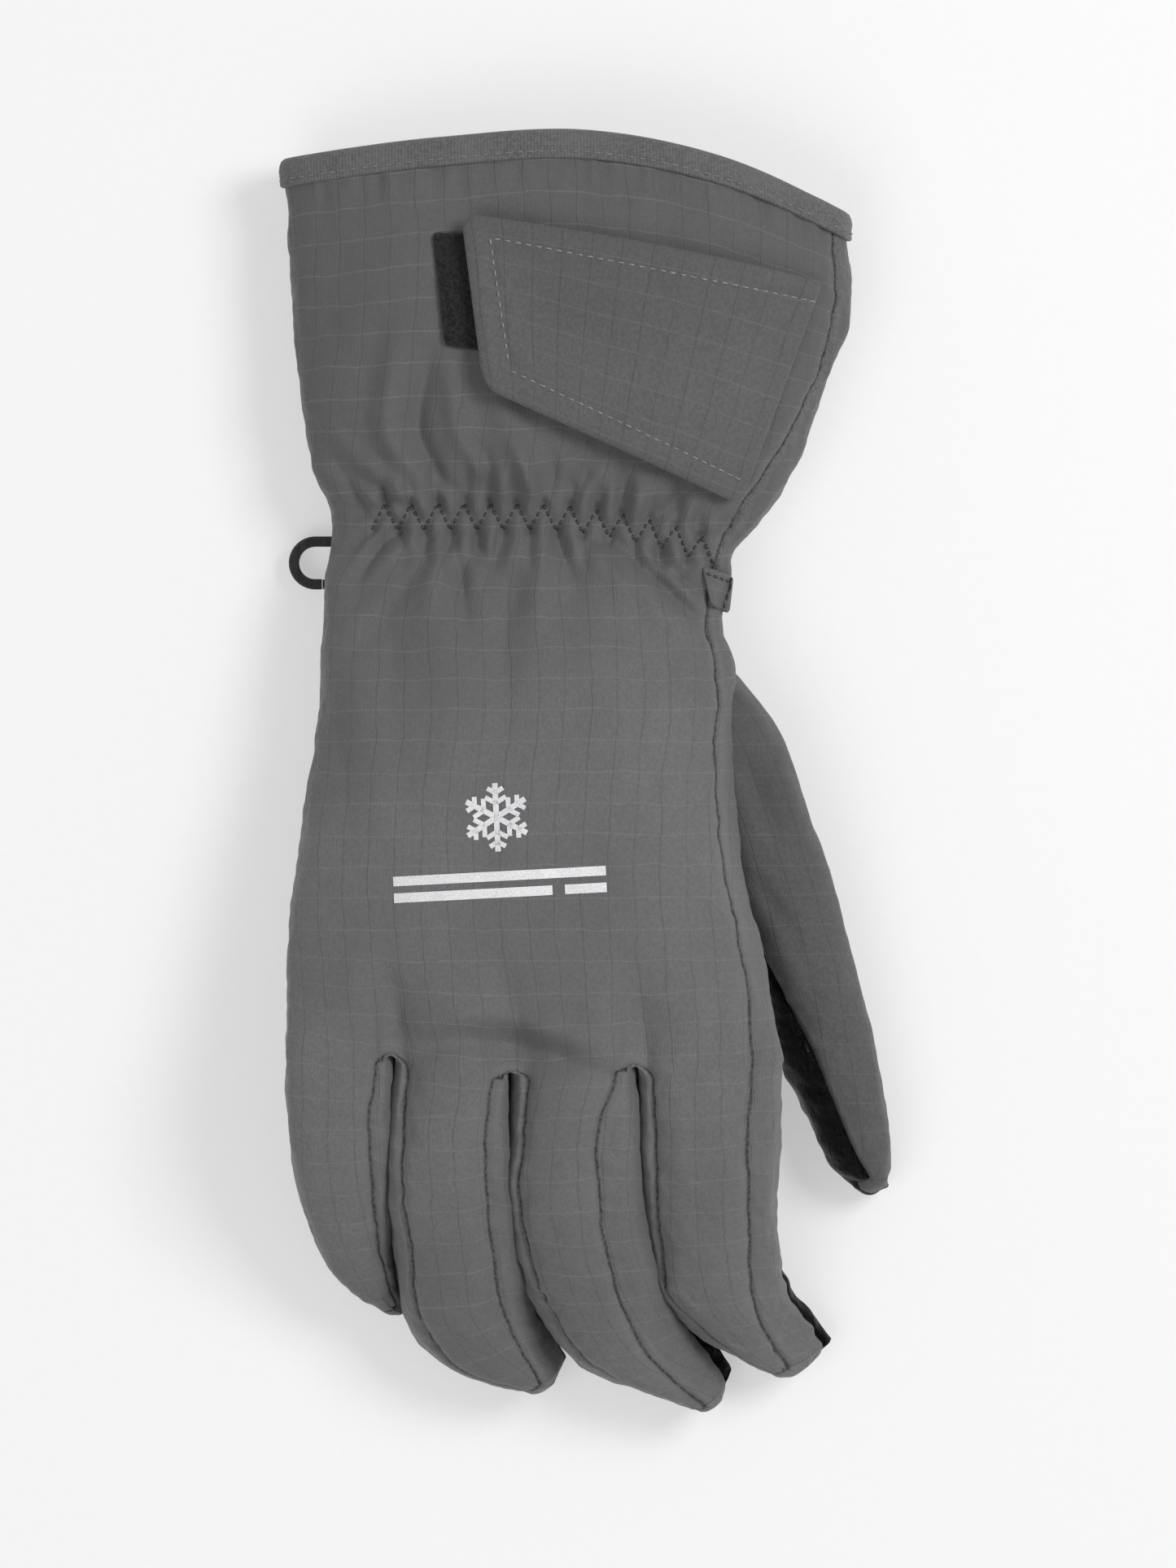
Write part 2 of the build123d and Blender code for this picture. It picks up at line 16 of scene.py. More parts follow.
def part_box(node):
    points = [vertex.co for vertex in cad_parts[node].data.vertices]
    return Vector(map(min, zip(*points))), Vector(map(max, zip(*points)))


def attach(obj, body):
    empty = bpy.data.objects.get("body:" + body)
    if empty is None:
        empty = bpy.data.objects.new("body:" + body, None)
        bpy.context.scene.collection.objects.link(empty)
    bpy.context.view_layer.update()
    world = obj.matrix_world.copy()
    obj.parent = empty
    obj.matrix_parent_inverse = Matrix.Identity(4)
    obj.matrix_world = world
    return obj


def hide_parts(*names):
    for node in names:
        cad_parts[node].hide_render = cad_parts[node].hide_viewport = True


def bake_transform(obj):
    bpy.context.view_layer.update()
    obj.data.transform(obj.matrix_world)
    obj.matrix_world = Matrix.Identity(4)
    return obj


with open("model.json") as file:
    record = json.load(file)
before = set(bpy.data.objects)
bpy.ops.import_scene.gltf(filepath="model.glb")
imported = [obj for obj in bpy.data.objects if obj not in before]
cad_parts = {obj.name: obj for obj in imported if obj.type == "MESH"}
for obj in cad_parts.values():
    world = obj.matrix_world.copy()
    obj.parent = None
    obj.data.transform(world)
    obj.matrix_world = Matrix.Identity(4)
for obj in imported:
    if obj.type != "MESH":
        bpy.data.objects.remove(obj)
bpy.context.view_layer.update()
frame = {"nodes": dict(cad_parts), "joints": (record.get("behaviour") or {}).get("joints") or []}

MM = 0.001
CELL = 1.25  # the size of a square of cloth, which DENSITY then divides
DENSITY = 2
SEED = 11
FAR = 30.0  # distances from a seam are measured up to here
FINGERS = ["little", "ring", "middle", "index"]


def corners(node):
    """A CAD node's lowest and highest corners, in millimetres."""
    low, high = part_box(node)
    return np.array(low) / MM, np.array(high) / MM


def joint_at(name):
    """The place of a joint, in millimetres."""
    joint = next(j for j in frame["joints"] if j["name"] == name)
    return np.array(joint["pos_m"]) / MM


WRIST_Y = joint_at("wrist_bend")[1]
ROOT_Y = corners("hand_back")[0][1]
MOUTH_Y = corners("gauntlet_back")[1][1] - 2


# ---------------------------------------------------------------- curves and grids
def smooth(points, at):
    """The values at some places on a smooth curve through (place, value) points."""
    points = sorted(points, key=lambda p: p[0])
    place = np.array([p[0] for p in points], float)
    value = np.array([p[1] for p in points], float)
    slope = np.gradient(value, place, axis=0)
    at = np.clip(np.atleast_1d(np.asarray(at, float)), place[0], place[-1])
    i = np.clip(np.searchsorted(place, at, side="right") - 1, 0, len(place) - 2)
    step = place[i + 1] - place[i]
    t = (at - place[i]) / step
    if value.ndim > 1:
        t, step = t[:, None], step[:, None]
    start = (2 * t**3 - 3 * t**2 + 1) * value[i] + (t**3 - 2 * t**2 + t) * step * slope[i]
    end = (-2 * t**3 + 3 * t**2) * value[i + 1] + (t**3 - t**2) * step * slope[i + 1]
    return start + end


def ease(low, high, x):
    """0 below low, 1 above high and a smooth step between."""
    t = np.clip((np.asarray(x, float) - low) / (high - low), 0, 1)
    return t * t * (3 - 2 * t)


def near(x, width, sharp=2.0):
    """1 where x is 0, falling to almost nothing beyond a few widths."""
    return np.exp(-((np.abs(x) / width) ** sharp))


def unit(vectors):
    """The directions of some vectors."""
    return vectors / np.maximum(np.linalg.norm(vectors, axis=-1, keepdims=True), 1e-9)


def lengths(points):
    """How far along a line each of its points is."""
    steps = np.linalg.norm(np.diff(points, axis=0), axis=1)
    return np.concatenate([[0], np.cumsum(steps)])


def pick(at, run, values):
    """The values, one row for each place in run, at other places."""
    return np.stack([np.interp(at, run, values[:, k]) for k in range(values.shape[1])], axis=1)


def along(points, count):
    """count + 1 points at equal spaces along a line of straight runs."""
    points = np.asarray(points, float)
    run = lengths(points)
    return pick(np.linspace(0, run[-1], count + 1), run, points)


def rounded(points, count):
    """count + 1 points at equal spaces along a smooth line through the points."""
    run = lengths(np.asarray(points, float))
    fine = smooth(list(zip(run, points)), np.linspace(0, run[-1], 40 * len(points)))
    return along(fine, count)


def beside(plan, line):
    """How far each place is from a line of straight runs, and how far along the line it is."""
    run = lengths(line)
    gap, where = np.full(len(plan), 1e9), np.zeros(len(plan))
    for k in range(len(line) - 1):
        a, d = line[k], line[k + 1] - line[k]
        t = np.clip(((plan - a) @ d) / (d @ d), 0, 1)
        here = np.linalg.norm(plan - a - t[:, None] * d, axis=1)
        where = np.where(here < gap, run[k] + t * (run[k + 1] - run[k]), where)
        gap = np.minimum(gap, here)
    return gap, where


def oval(angle, across_power, up_power):
    """Across and up on a round form, squarer where a power is smaller than 1."""
    c, s = np.cos(angle), np.sin(angle)
    return np.sign(c) * np.abs(c) ** across_power, np.sign(s) * np.abs(s) ** up_power


def coons(top, bottom, left, right):
    """A grid of points whose four edges are the given lines."""
    v = np.linspace(0, 1, len(left))[:, None, None]
    u = np.linspace(0, 1, len(top))[None, :, None]
    ruled = (1 - v) * top[None] + v * bottom[None] + (1 - u) * left[:, None] + u * right[:, None]
    corner = (1 - u) * (1 - v) * top[0] + u * (1 - v) * top[-1] + (1 - u) * v * bottom[0] + u * v * bottom[-1]
    return ruled - corner


def dome(rows, cols):
    """A grid that rises from 0 at its edges to 1 in the middle."""
    return np.sin(np.pi * np.linspace(0, 1, rows))[:, None] * np.sin(np.pi * np.linspace(0, 1, cols))


def paired(across, down):
    """A grid of two values, such as the directions of the cloth, from arrays that fit each other."""
    return np.stack(np.broadcast_arrays(across, down), axis=-1)


def bands(*runs):
    """A row of numbers from (how many, number) runs."""
    return np.concatenate([np.full(count, number) for count, number in runs])


def grid_faces(rows, cols, closed=False, flip=False):
    """The squares of a grid of points, whose last column joins its first if it is closed."""
    index = np.arange(rows * cols).reshape(rows, cols)
    if closed:
        index = np.concatenate([index, index[:, :1]], axis=1)
    faces = np.stack([index[:-1, :-1], index[1:, :-1], index[1:, 1:], index[:-1, 1:]], axis=-1).reshape(-1, 4)
    return faces[:, ::-1] if flip else faces


class Cloth:
    """Grids of cloth that are sewn into one skin, folded as one, and then cut into pieces."""

    def __init__(self):
        self.points, self.faces, self.piece, self.panel, self.weave = [], [], [], [], []
        self.count = 0

    def grid(self, points, weave, piece, panel):
        """Adds rows of points. Each square has the number of the piece and the panel that it belongs to."""
        rows, cols = points.shape[:2]
        faces = grid_faces(rows, cols)
        self.points.append(points.reshape(-1, 3))
        self.faces.append(faces + self.count)
        self.weave.append(weave.reshape(-1, 2)[faces])
        self.piece.append(np.broadcast_to(piece, (rows - 1, cols - 1)).reshape(-1))
        self.panel.append(np.broadcast_to(panel, (rows - 1, cols - 1)).reshape(-1))
        self.count += rows * cols

    def sew(self):
        """Joins the grids where they meet."""
        points = np.concatenate(self.points)
        _, first, back = np.unique(np.round(points, 3), axis=0, return_index=True, return_inverse=True)
        self.co = points[first]
        self.faces = back.reshape(-1)[np.concatenate(self.faces)]
        self.piece, self.weave = np.concatenate(self.piece), np.concatenate(self.weave)
        ends = np.stack([self.faces, np.roll(self.faces, -1, axis=1)], axis=-1).reshape(-1, 2)
        ends = np.sort(ends, axis=1)
        self.edges, back, uses = np.unique(ends, axis=0, return_inverse=True, return_counts=True)
        panel = np.repeat(np.concatenate(self.panel), 4)
        low, high = np.full(len(self.edges), len(ends)), np.full(len(self.edges), -1)
        np.minimum.at(low, back.reshape(-1), panel)
        np.maximum.at(high, back.reshape(-1), panel)
        self.seam_edges = self.edges[low != high]
        self.rim = np.zeros(len(self.co), bool)
        self.rim[self.edges[uses == 1].reshape(-1)] = True

    def relax(self, times, share=0.5, around=(), reach=0.0):
        """Rounds the skin, or what is near some places, by moving points towards their neighbours' middle."""
        a, b = self.edges.T
        degree = np.bincount(self.edges.reshape(-1), minlength=len(self.co))[:, None]
        if len(around):
            gap = np.min([np.linalg.norm(self.co - place, axis=1) for place in around], axis=0)
            share = share * ease(reach, 0.6 * reach, gap)[:, None]
        for _ in range(times):
            total = np.zeros_like(self.co)
            np.add.at(total, a, self.co[b])
            np.add.at(total, b, self.co[a])
            moved = self.co + share * (total / degree - self.co)
            self.co = np.where(self.rim[:, None], self.co, moved)

    def normals(self):
        """The direction that the skin faces at each point."""
        p = self.co[self.faces]
        face = np.cross(p[:, 2] - p[:, 0], p[:, 3] - p[:, 1])
        total = np.zeros_like(self.co)
        for k in range(4):
            np.add.at(total, self.faces[:, k], face)
        return unit(total)

    def find_seams(self, zone):
        """Measures how far each point is from the nearest seam of its own zone."""
        on_seam = np.zeros(len(self.co), bool)
        on_seam[self.seam_edges.reshape(-1)] = True
        self.seam = np.full(len(self.co), FAR)
        for number in np.unique(zone):
            chosen = zone == number
            targets = self.co[on_seam & chosen]
            tree = KDTree(len(targets))
            for i, target in enumerate(targets):
                tree.insert(target, i)
            tree.balance()
            self.seam[chosen] = np.minimum([tree.find(p)[2] for p in self.co[chosen]], FAR)


def cloud(points, size, seed=0.0):
    """Smooth noise from -1 to 1 at each point, with lumps about as large as size."""
    at = points / np.asarray(size, float) + seed
    return np.array([noise.noise(Vector(p)) for p in at])


def cloud_on(grid, size, seed):
    """Smooth noise on a grid of points."""
    return cloud(grid.reshape(-1, 3), size, seed).reshape(grid.shape[:2])


def fold(plan, line, width, height, sharp=2.0):
    """The height of a fold that runs along a line on the plan and dies away at its ends."""
    line = along(rounded(line, 12), 12)
    gap, where = beside(plan, line)
    taper = np.sin(np.pi * np.clip(0.06 + 0.88 * where / lengths(line)[-1], 0, 1)) ** 0.7
    return height * taper * near(gap, width, sharp)


# ---------------------------------------------------------------- pieces and meshes
def new_mesh(name, points, faces, material, weave=None, seam=None, normals=None):
    """A smooth object from points in millimetres and faces of three or four corners."""
    mesh = bpy.data.meshes.new(name)
    mesh.from_pydata((np.asarray(points) * MM).tolist(), [], [list(map(int, f)) for f in faces])
    mesh.update()
    mesh.shade_smooth()
    if weave is not None:
        layer = mesh.attributes.new("weave", "FLOAT_VECTOR", "POINT")
        full = np.zeros((len(points), 3), np.float32)
        full[:, :2] = weave.reshape(-1, 2)
        layer.data.foreach_set("vector", full.reshape(-1))
    if seam is not None:
        layer = mesh.attributes.new("seam", "FLOAT", "POINT")
        layer.data.foreach_set("value", np.asarray(seam, np.float32))
    if normals is not None:
        mesh.normals_split_custom_set_from_vertices(normals.tolist())
    obj = bpy.data.objects.new(name, mesh)
    bpy.context.scene.collection.objects.link(obj)
    obj.data.materials.append(material)
    return obj


def dress(obj, body, nodes=()):
    """Hides the nodes a piece stands for, and puts it on a body or across the wrist."""
    if nodes:
        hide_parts(*nodes)
    if body == "wrist":
        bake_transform(obj)
    elif body:
        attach(obj, body)


def cut(cloth, number, name, material, body, nodes):
    """One sewn piece of a skin, with its own copy of the cloth's directions."""
    chosen = cloth.piece == number
    used, back = np.unique(cloth.faces[chosen], return_inverse=True)
    faces = back.reshape(-1, 4)
    weave = np.zeros((len(used), 2))
    weave[faces.reshape(-1)] = cloth.weave[chosen].reshape(-1, 2)
    obj = new_mesh(name, cloth.co[used], faces, MATERIALS[material], weave,
                   cloth.seam[used], cloth.facing[used])
    dress(obj, body, nodes)
    return obj


class Surface:
    """Something to lay stitches, tapes and prints on."""

    def __init__(self, points, faces):
        self.tree = BVHTree.FromPolygons(points.reshape(-1, 3).tolist(), faces.tolist())

    def drop(self, x, y, below=False):
        """The point and the direction of the surface at a place on the plan, seen from above or below."""
        start, ahead = (-60.0, 1.0) if below else (90.0, -1.0)
        place, normal, _, _ = self.tree.ray_cast(Vector((x, y, start)), Vector((0, 0, ahead)))
        if place is None:  # past the surface's edge
            place, normal, _, _ = self.tree.find_nearest(Vector((x, y, 25)))
        return np.array(place), np.array(normal)


# ---------------------------------------------------------------- materials
class Shader:
    """Builds one material's nodes. Sizes are in millimetres."""

    def __init__(self, name):
        self.material = bpy.data.materials.new(name)
        self.material.use_nodes = True
        self.tree = self.material.node_tree
        self.bsdf = self.tree.nodes["Principled BSDF"]
        self.place = self.node("ShaderNodeTexCoord").outputs["Object"]

    def node(self, kind, inputs=(), **values):
        made = self.tree.nodes.new(kind)
        for key, value in values.items():
            setattr(made, key, value)
        for key, value in dict(inputs).items():
            self.put(made.inputs[key], value)
        return made

    def put(self, socket, value):
        if isinstance(value, bpy.types.NodeSocket):
            self.tree.links.new(value, socket)
        else:
            socket.default_value = value

    def math(self, operation, *values):
        return self.node("ShaderNodeMath", dict(enumerate(values)), operation=operation).outputs[0]

    def total(self, *terms):
        """The sum of (value, share) terms."""
        result = self.math("MULTIPLY", *terms[0])
        for value, share in terms[1:]:
            result = self.math("ADD", result, self.math("MULTIPLY", value, share))
        return result

    def wave(self, value, pitch):
        return self.math("SINE", self.math("MULTIPLY", value, 2 * math.pi / pitch))

    def attribute(self, name, output):
        return self.node("ShaderNodeAttribute", attribute_name=name).outputs[output]

    def parts(self, vector):
        return self.node("ShaderNodeSeparateXYZ", {0: vector}).outputs

    def weave(self):
        """How far across and along the cloth a point is."""
        return self.parts(self.attribute("weave", "Vector"))

    def stretch(self, size):
        """Coordinates in which a pattern of that size is one unit."""
        scale = [1 / (float(s) * MM) for s in np.broadcast_to(size, 3)]
        return self.node("ShaderNodeMapping", {"Vector": self.place, "Scale": scale}).outputs[0]

    def noise(self, size, detail=2.0, roughness=0.5):
        inputs = {"Vector": self.stretch(size), "Scale": 1.0, "Detail": detail, "Roughness": roughness}
        return self.node("ShaderNodeTexNoise", inputs).outputs["Fac"]

    def ramp(self, value, low, high, to_low=0.0, to_high=1.0):
        inputs = {"Value": value, "From Min": low, "From Max": high, "To Min": to_low, "To Max": to_high}
        return self.node("ShaderNodeMapRange", inputs, interpolation_type="SMOOTHSTEP").outputs[0]

    def mix(self, factor, a, b):
        return self.node("ShaderNodeMix", {0: factor, 6: a, 7: b}, data_type="RGBA").outputs[2]

    def bump(self, height, distance, strength=1.0, normal=None):
        inputs = {"Height": height, "Distance": distance * MM, "Strength": strength}
        if normal is not None:
            inputs["Normal"] = normal
        return self.node("ShaderNodeBump", inputs).outputs[0]

    def finish(self, colour, roughness, normal=None, **fixed):
        self.put(self.bsdf.inputs["Base Color"], colour)
        self.put(self.bsdf.inputs["Roughness"], roughness)
        if normal is not None:
            self.put(self.bsdf.inputs["Normal"], normal)
        for key, value in fixed.items():
            self.bsdf.inputs[key.replace("_", " ")].default_value = value
        return self.material


def grey(level, tint=(1.0, 1.0, 1.0)):
    """A linear colour from a brightness between 0 and 255 as a screen shows it."""
    linear = ((level / 255 + 0.055) / 1.055) ** 2.4
    return (*[linear * t for t in tint], 1.0)


def ripstop(name, level, squares=(6.4, 7.5), shade_at_cuff=0.75):
    """Twill with a grid of heavier threads, a painted shade in its seams with a painted highlight beside
    them, and a painted shade that darkens it towards the cuff.
    """
    s = Shader(name)
    across, down = s.weave()[:2]
    warp = s.noise(30, 1.0)
    u = s.total((across, 1.0), (warp, 2.6))
    v = s.total((down, 1.0), (warp, 2.1))
    masks = []
    for value, pitch in ((u, squares[0]), (v, squares[1])):
        turn = s.math("FRACT", s.math("DIVIDE", value, pitch))
        off = s.math("MULTIPLY", s.math("ABSOLUTE", s.math("SUBTRACT", turn, 0.5)), pitch)
        masks.append(s.ramp(off, 0.08, 0.34, 1.0, 0.0))
    broad = s.noise((42, 60, 42))
    fine = s.noise((0.8, 1.0, 0.8), 2.0, 0.6)
    darker, lighter = grey(level - 5, (1.0, 1.0, 1.02)), grey(level + 5, (1.0, 1.0, 1.03))
    base = s.mix(s.ramp(broad, 0.3, 0.7), darker, lighter)
    base = s.mix(s.ramp(fine, 0.36, 0.66, 0.0, 0.35), base, grey(level - 14, (1.0, 1.0, 1.02)))
    # Painted shade: the cloth is made darker towards the cuff to stand in for the shade the gauntlet lies in.
    cuff_shade = s.ramp(s.parts(s.place)[1], 0.005, 0.075, 0.0, shade_at_cuff)
    base = s.mix(cuff_shade, base, grey(level - 16))
    base = s.mix(s.math("MULTIPLY", masks[0], 0.22), base, grey(level - 36))
    base = s.mix(s.math("MULTIPLY", masks[1], 0.2), base, grey(level + 28))
    seam = s.attribute("seam", "Fac")
    # Painted shade: a dark line along each seam stands in for the shade in its groove.
    base = s.mix(s.ramp(seam, 0.05, 0.65, 0.9, 0.0), base, grey(30))
    # Painted highlight: lighter patches just beside each seam stand in for light on the cloth that stands up
    # there.
    seam_highlight = s.math("MULTIPLY", s.ramp(seam, 1.2, 3.2, 0.28, 0.0), s.ramp(fine, 0.4, 0.6))
    base = s.mix(seam_highlight, base, grey(level + 26))
    soft = s.bump(s.noise(5, 4.0, 0.6), 0.4, 0.45)
    twill = s.wave(s.total((u, 1.0), (v, 1.7)), 0.9)
    height = s.total((twill, 0.5), (s.wave(u, 0.55), 0.35), (masks[0], -0.9), (masks[1], 0.9))
    fixed = {"Sheen_Weight": 0.22, "Sheen_Roughness": 0.45, "Specular_IOR_Level": 0.32}
    return s.finish(base, s.ramp(fine, 0.3, 0.7, 0.62, 0.8), s.bump(height, 0.09, 0.75, soft), **fixed)


def leather(name, level=3):
    """Black grained leather, creased, and shinier where it is rubbed."""
    s = Shader(name)
    cells = s.node("ShaderNodeTexVoronoi", {"Vector": s.stretch(1.3)}, feature="DISTANCE_TO_EDGE")
    grain = s.ramp(cells.outputs["Distance"], 0.02, 0.3)
    crease = s.noise((4.0, 9.0, 6.0), 5.0, 0.62)
    ridge = s.math("ABSOLUTE", s.math("SUBTRACT", crease, 0.5))
    wear = s.noise(16, 3.0)
    colour = s.mix(s.ramp(wear, 0.4, 0.72), grey(level), grey(level + 10, (1.0, 0.99, 0.98)))
    # Painted shade: the leather is darkened along its seams, where shade falls in the groove.
    colour = s.mix(s.ramp(s.attribute("seam", "Fac"), 0.3, 1.0, 0.7, 0.0), colour, grey(4))
    soft = s.bump(s.ramp(ridge, 0.0, 0.13), 0.6, 0.9)
    skin = s.bump(grain, 0.12, 0.6, soft)
    return s.finish(colour, s.ramp(wear, 0.35, 0.7, 0.24, 0.38), skin, Specular_IOR_Level=0.12)


def tape(name, level, rib=0.9, sheen=0.25, fuzz=0.0):
    """Woven tape with ribs across it, fuzzy if it is loop or fleece."""
    s = Shader(name)
    across, down = s.weave()[:2]
    tufts = s.noise(0.9, 2.0, 0.8)
    colour = s.mix(s.ramp(tufts, 0.35, 0.65), grey(level - 9 - 5 * fuzz), grey(level + 9 + 14 * fuzz))
    colour = s.mix(s.ramp(s.noise(14), 0.35, 0.7, 0.0, 0.4), colour, grey(level + 14))
    height = s.total((s.wave(across, rib), 0.5 * (1 - fuzz)), (s.wave(down, rib * 0.8), 0.4 * (1 - fuzz)),
                     (s.noise(0.6, 3.0, 0.75), 1.0 + 3.0 * fuzz))
    fixed = {"Sheen_Weight": sheen, "Sheen_Roughness": 0.5, "Specular_IOR_Level": 0.25}
    return s.finish(colour, 0.82, s.bump(height, 0.14 + 0.2 * fuzz, 0.8), **fixed)


def moulded(name, level, rough=0.45):
    """Moulded nylon with a fine spark-eroded grain and handling marks."""
    s = Shader(name)
    marks = s.noise((2, 14, 2), 4.0, 0.7)
    colour = s.mix(s.ramp(marks, 0.45, 0.7), grey(level), grey(level + 9))
    shine = s.ramp(marks, 0.4, 0.7, rough - 0.07, rough + 0.12)
    return s.finish(colour, shine, s.bump(s.noise(0.5), 0.05, 0.5))


def steel(name):
    """Drawn wire, with lines along it."""
    s = Shader(name)
    lines = s.noise((0.4, 0.4, 4), 3.0)
    colour = s.mix(lines, (0.42, 0.42, 0.43, 1), (0.58, 0.58, 0.59, 1))
    return s.finish(colour, s.ramp(lines, 0.3, 0.7, 0.22, 0.4), s.bump(lines, 0.02, 0.4), Metallic=1.0)


def thread(name, colour):
    """Twisted sewing thread."""
    s = Shader(name)
    ply = s.node("ShaderNodeTexWave", {"Vector": s.stretch(1), "Scale": 1.6}).outputs["Fac"]
    dark = tuple(0.6 * c for c in colour) + (1.0,)
    return s.finish(s.mix(s.ramp(s.noise(0.5), 0.3, 0.7), dark, (*colour, 1.0)), 0.6, s.bump(ply, 0.05, 0.6))


def foil(name):
    """Soft silver ink that has started to crack along the weave."""
    s = Shader(name)
    across, down = s.weave()[:2]
    twill = s.wave(s.total((across, 1.0), (down, 1.7)), 0.8976)
    cracks = s.noise(1.2, 5.0, 0.7)
    fleck = s.noise(0.35, 1.0)
    colour = s.mix(s.ramp(fleck, 0.3, 0.7), grey(204, (1, 1, 1.02)), grey(226, (1, 1, 1.02)))
    colour = s.mix(s.ramp(cracks, 0.26, 0.36, 0.8, 0.0), colour, grey(150))
    return s.finish(colour, 0.5, s.bump(s.math("ADD", twill, cracks), 0.05, 0.5), Metallic=0.15)


def ground(name):
    """A plain pale ground that glows a little, so that it stays near white."""
    s = Shader(name)
    colour = s.mix(s.noise(3, 3.0), grey(176), grey(180))
    fixed = {"Specular_IOR_Level": 0.1, "Emission_Color": grey(255), "Emission_Strength": 0.45}
    return s.finish(colour, 0.9, None, **fixed)


MATERIALS = {
    "ripstop": ripstop("ripstop", 101),
    "flap": ripstop("ripstop_flap", 86, squares=(7.5, 6.1), shade_at_cuff=0.0),
    # Painted shade: the thumb's ripstop is the same cloth at a darker level, standing in for the shade on the
    # thumb.
    "thumb": ripstop("ripstop_thumb_shaded", 80),
    "palm_leather": leather("palm_leather"),
    "binding": tape("binding_tape", 92, rib=0.8),
    "lining": tape("brushed_lining", 40, rib=1.4, sheen=0.5, fuzz=0.6),
    "loop": tape("loop_tape", 20, rib=1.1, sheen=0.12, fuzz=1.0),
    "hook": tape("hook_tape", 22, rib=1.6, sheen=0.0, fuzz=0.3),
    "webbing": tape("webbing_tape", 30, rib=1.2, sheen=0.15),
    "plastic": moulded("moulded_nylon", 17, rough=0.3),
    "steel": steel("pin_steel"),
    "flap_thread": thread("flap_thread", (0.27, 0.27, 0.235)),
    "hem_thread": thread("hem_thread", (0.2, 0.2, 0.185)),
    "wrist_thread": thread("wrist_thread", (0.05, 0.05, 0.052)),
    "palm_thread": thread("palm_thread", (0.09, 0.09, 0.09)),
    "foil": foil("silver_ink"),
}

# ---------------------------------------------------------------- the form of the gauntlet and hand
# Each line is (y, x) or (y, z), from the cuff's mouth to the roots of the fingers.
LEFT_SIDE = [(148, -73.4), (120, -71.8), (90, -69.2), (74, -66), (62, -62.6), (45, -64), (12, -65.4),
             (-8, -68.4), (-28, -71.4), (-69, -72.3)]
RIGHT_SIDE = [(148, 62.5), (132, 64.2), (120, 63.4), (106, 59.2), (90, 54.6), (72, 48), (63, 42.5),
              (56, 35.9), (48, 34.6), (39, 32.4), (29, 35.2), (2, 35.4), (-21, 37.3), (-41, 42), (-67, 46.3)]
GUSSET_SEAM = [(148, 59.5), (132, 60.5), (115, 58.6), (104, 56.2), (89, 50.8), (76, 44.2), (62, 35.2),
               (50, 30.6), (39, 29.8), (28, 31.4), (0, 31.4), (-21, 33.4), (-46, 38.4), (-69, 39.8)]
TOP = [(150, 31), (105, 33), (80, 32), (62, 28.8), (50, 31), (28, 37), (0, 43), (-35, 48), (-69, 51)]
BOTTOM = [(150, 1.5), (105, 0.8), (80, 2.2), (62, 6), (50, 7), (28, 7.5), (0, 9), (-35, 13), (-69, 18.5)]
MOUTH_ARC = [(-74, -1.0), (-36, 3.6), (1, 5.2), (34, -1.5), (64, -14.5)]  # (x, y beyond the mouth's own y)

# How many columns of cloth go across the back of each finger, across a web and down a side.
COLUMNS = [columns * DENSITY for columns in (22, 22, 24, 26)]
WEB = 5 * DENSITY
SIDE = 18 * DENSITY
BACK = sum(COLUMNS) + 3 * WEB
ROUND = 1440  # points on a section's fine outline, half of them above and half below


def ring_at(y, left, right, seam, top, bottom):
    """The points round the tube at one row: back, thumb side, palm and little-finger side."""
    across, up = oval(np.linspace(math.pi, -math.pi, ROUND, endpoint=False), 2 / 2.55, 2 / 2.55)
    x = (left + right) / 2 + (right - left) / 2 * across
    z = (top + bottom) / 2 + (top - bottom) / 2 * up
    line = np.stack([x, z], axis=1)
    line = np.concatenate([line, line[:1]])
    run = lengths(line)
    # Seams run beside the little finger's edge, along the gusset's seam, and inside both edges below.
    upper, lower = slice(0, ROUND // 2), slice(ROUND // 2, ROUND)
    start, turn = np.interp([left + 0.5, seam], x[upper], run[upper])
    under, rise = np.interp([-(right - 3.5), -(left + 3.0)], -x[lower], run[lower])
    stops = np.concatenate([
        np.linspace(start, turn, BACK + 1)[:-1], np.linspace(turn, under, SIDE + 1)[:-1],
        np.linspace(under, rise, BACK + 1)[:-1], np.linspace(rise, start + run[-1], SIDE + 1),
    ])
    points = np.insert(pick(np.mod(stops, run[-1]), run, line), 1, y, axis=1)
    points[-1] = points[0]
    return points, stops


rows = int((MOUTH_Y - ROOT_Y) / CELL) * DENSITY
row_y = np.linspace(MOUTH_Y, ROOT_Y, rows + 1)
outlines = [smooth(line, row_y) for line in (LEFT_SIDE, RIGHT_SIDE, GUSSET_SEAM, TOP, BOTTOM)]
tube, stops = map(np.array, zip(*[ring_at(*at_row) for at_row in zip(row_y, *outlines)]))
for ring, y in zip(tube, row_y):
    ring[:, 1] += smooth(MOUTH_ARC, ring[:, 0]) * ease(WRIST_Y + 8, MOUTH_Y, y)

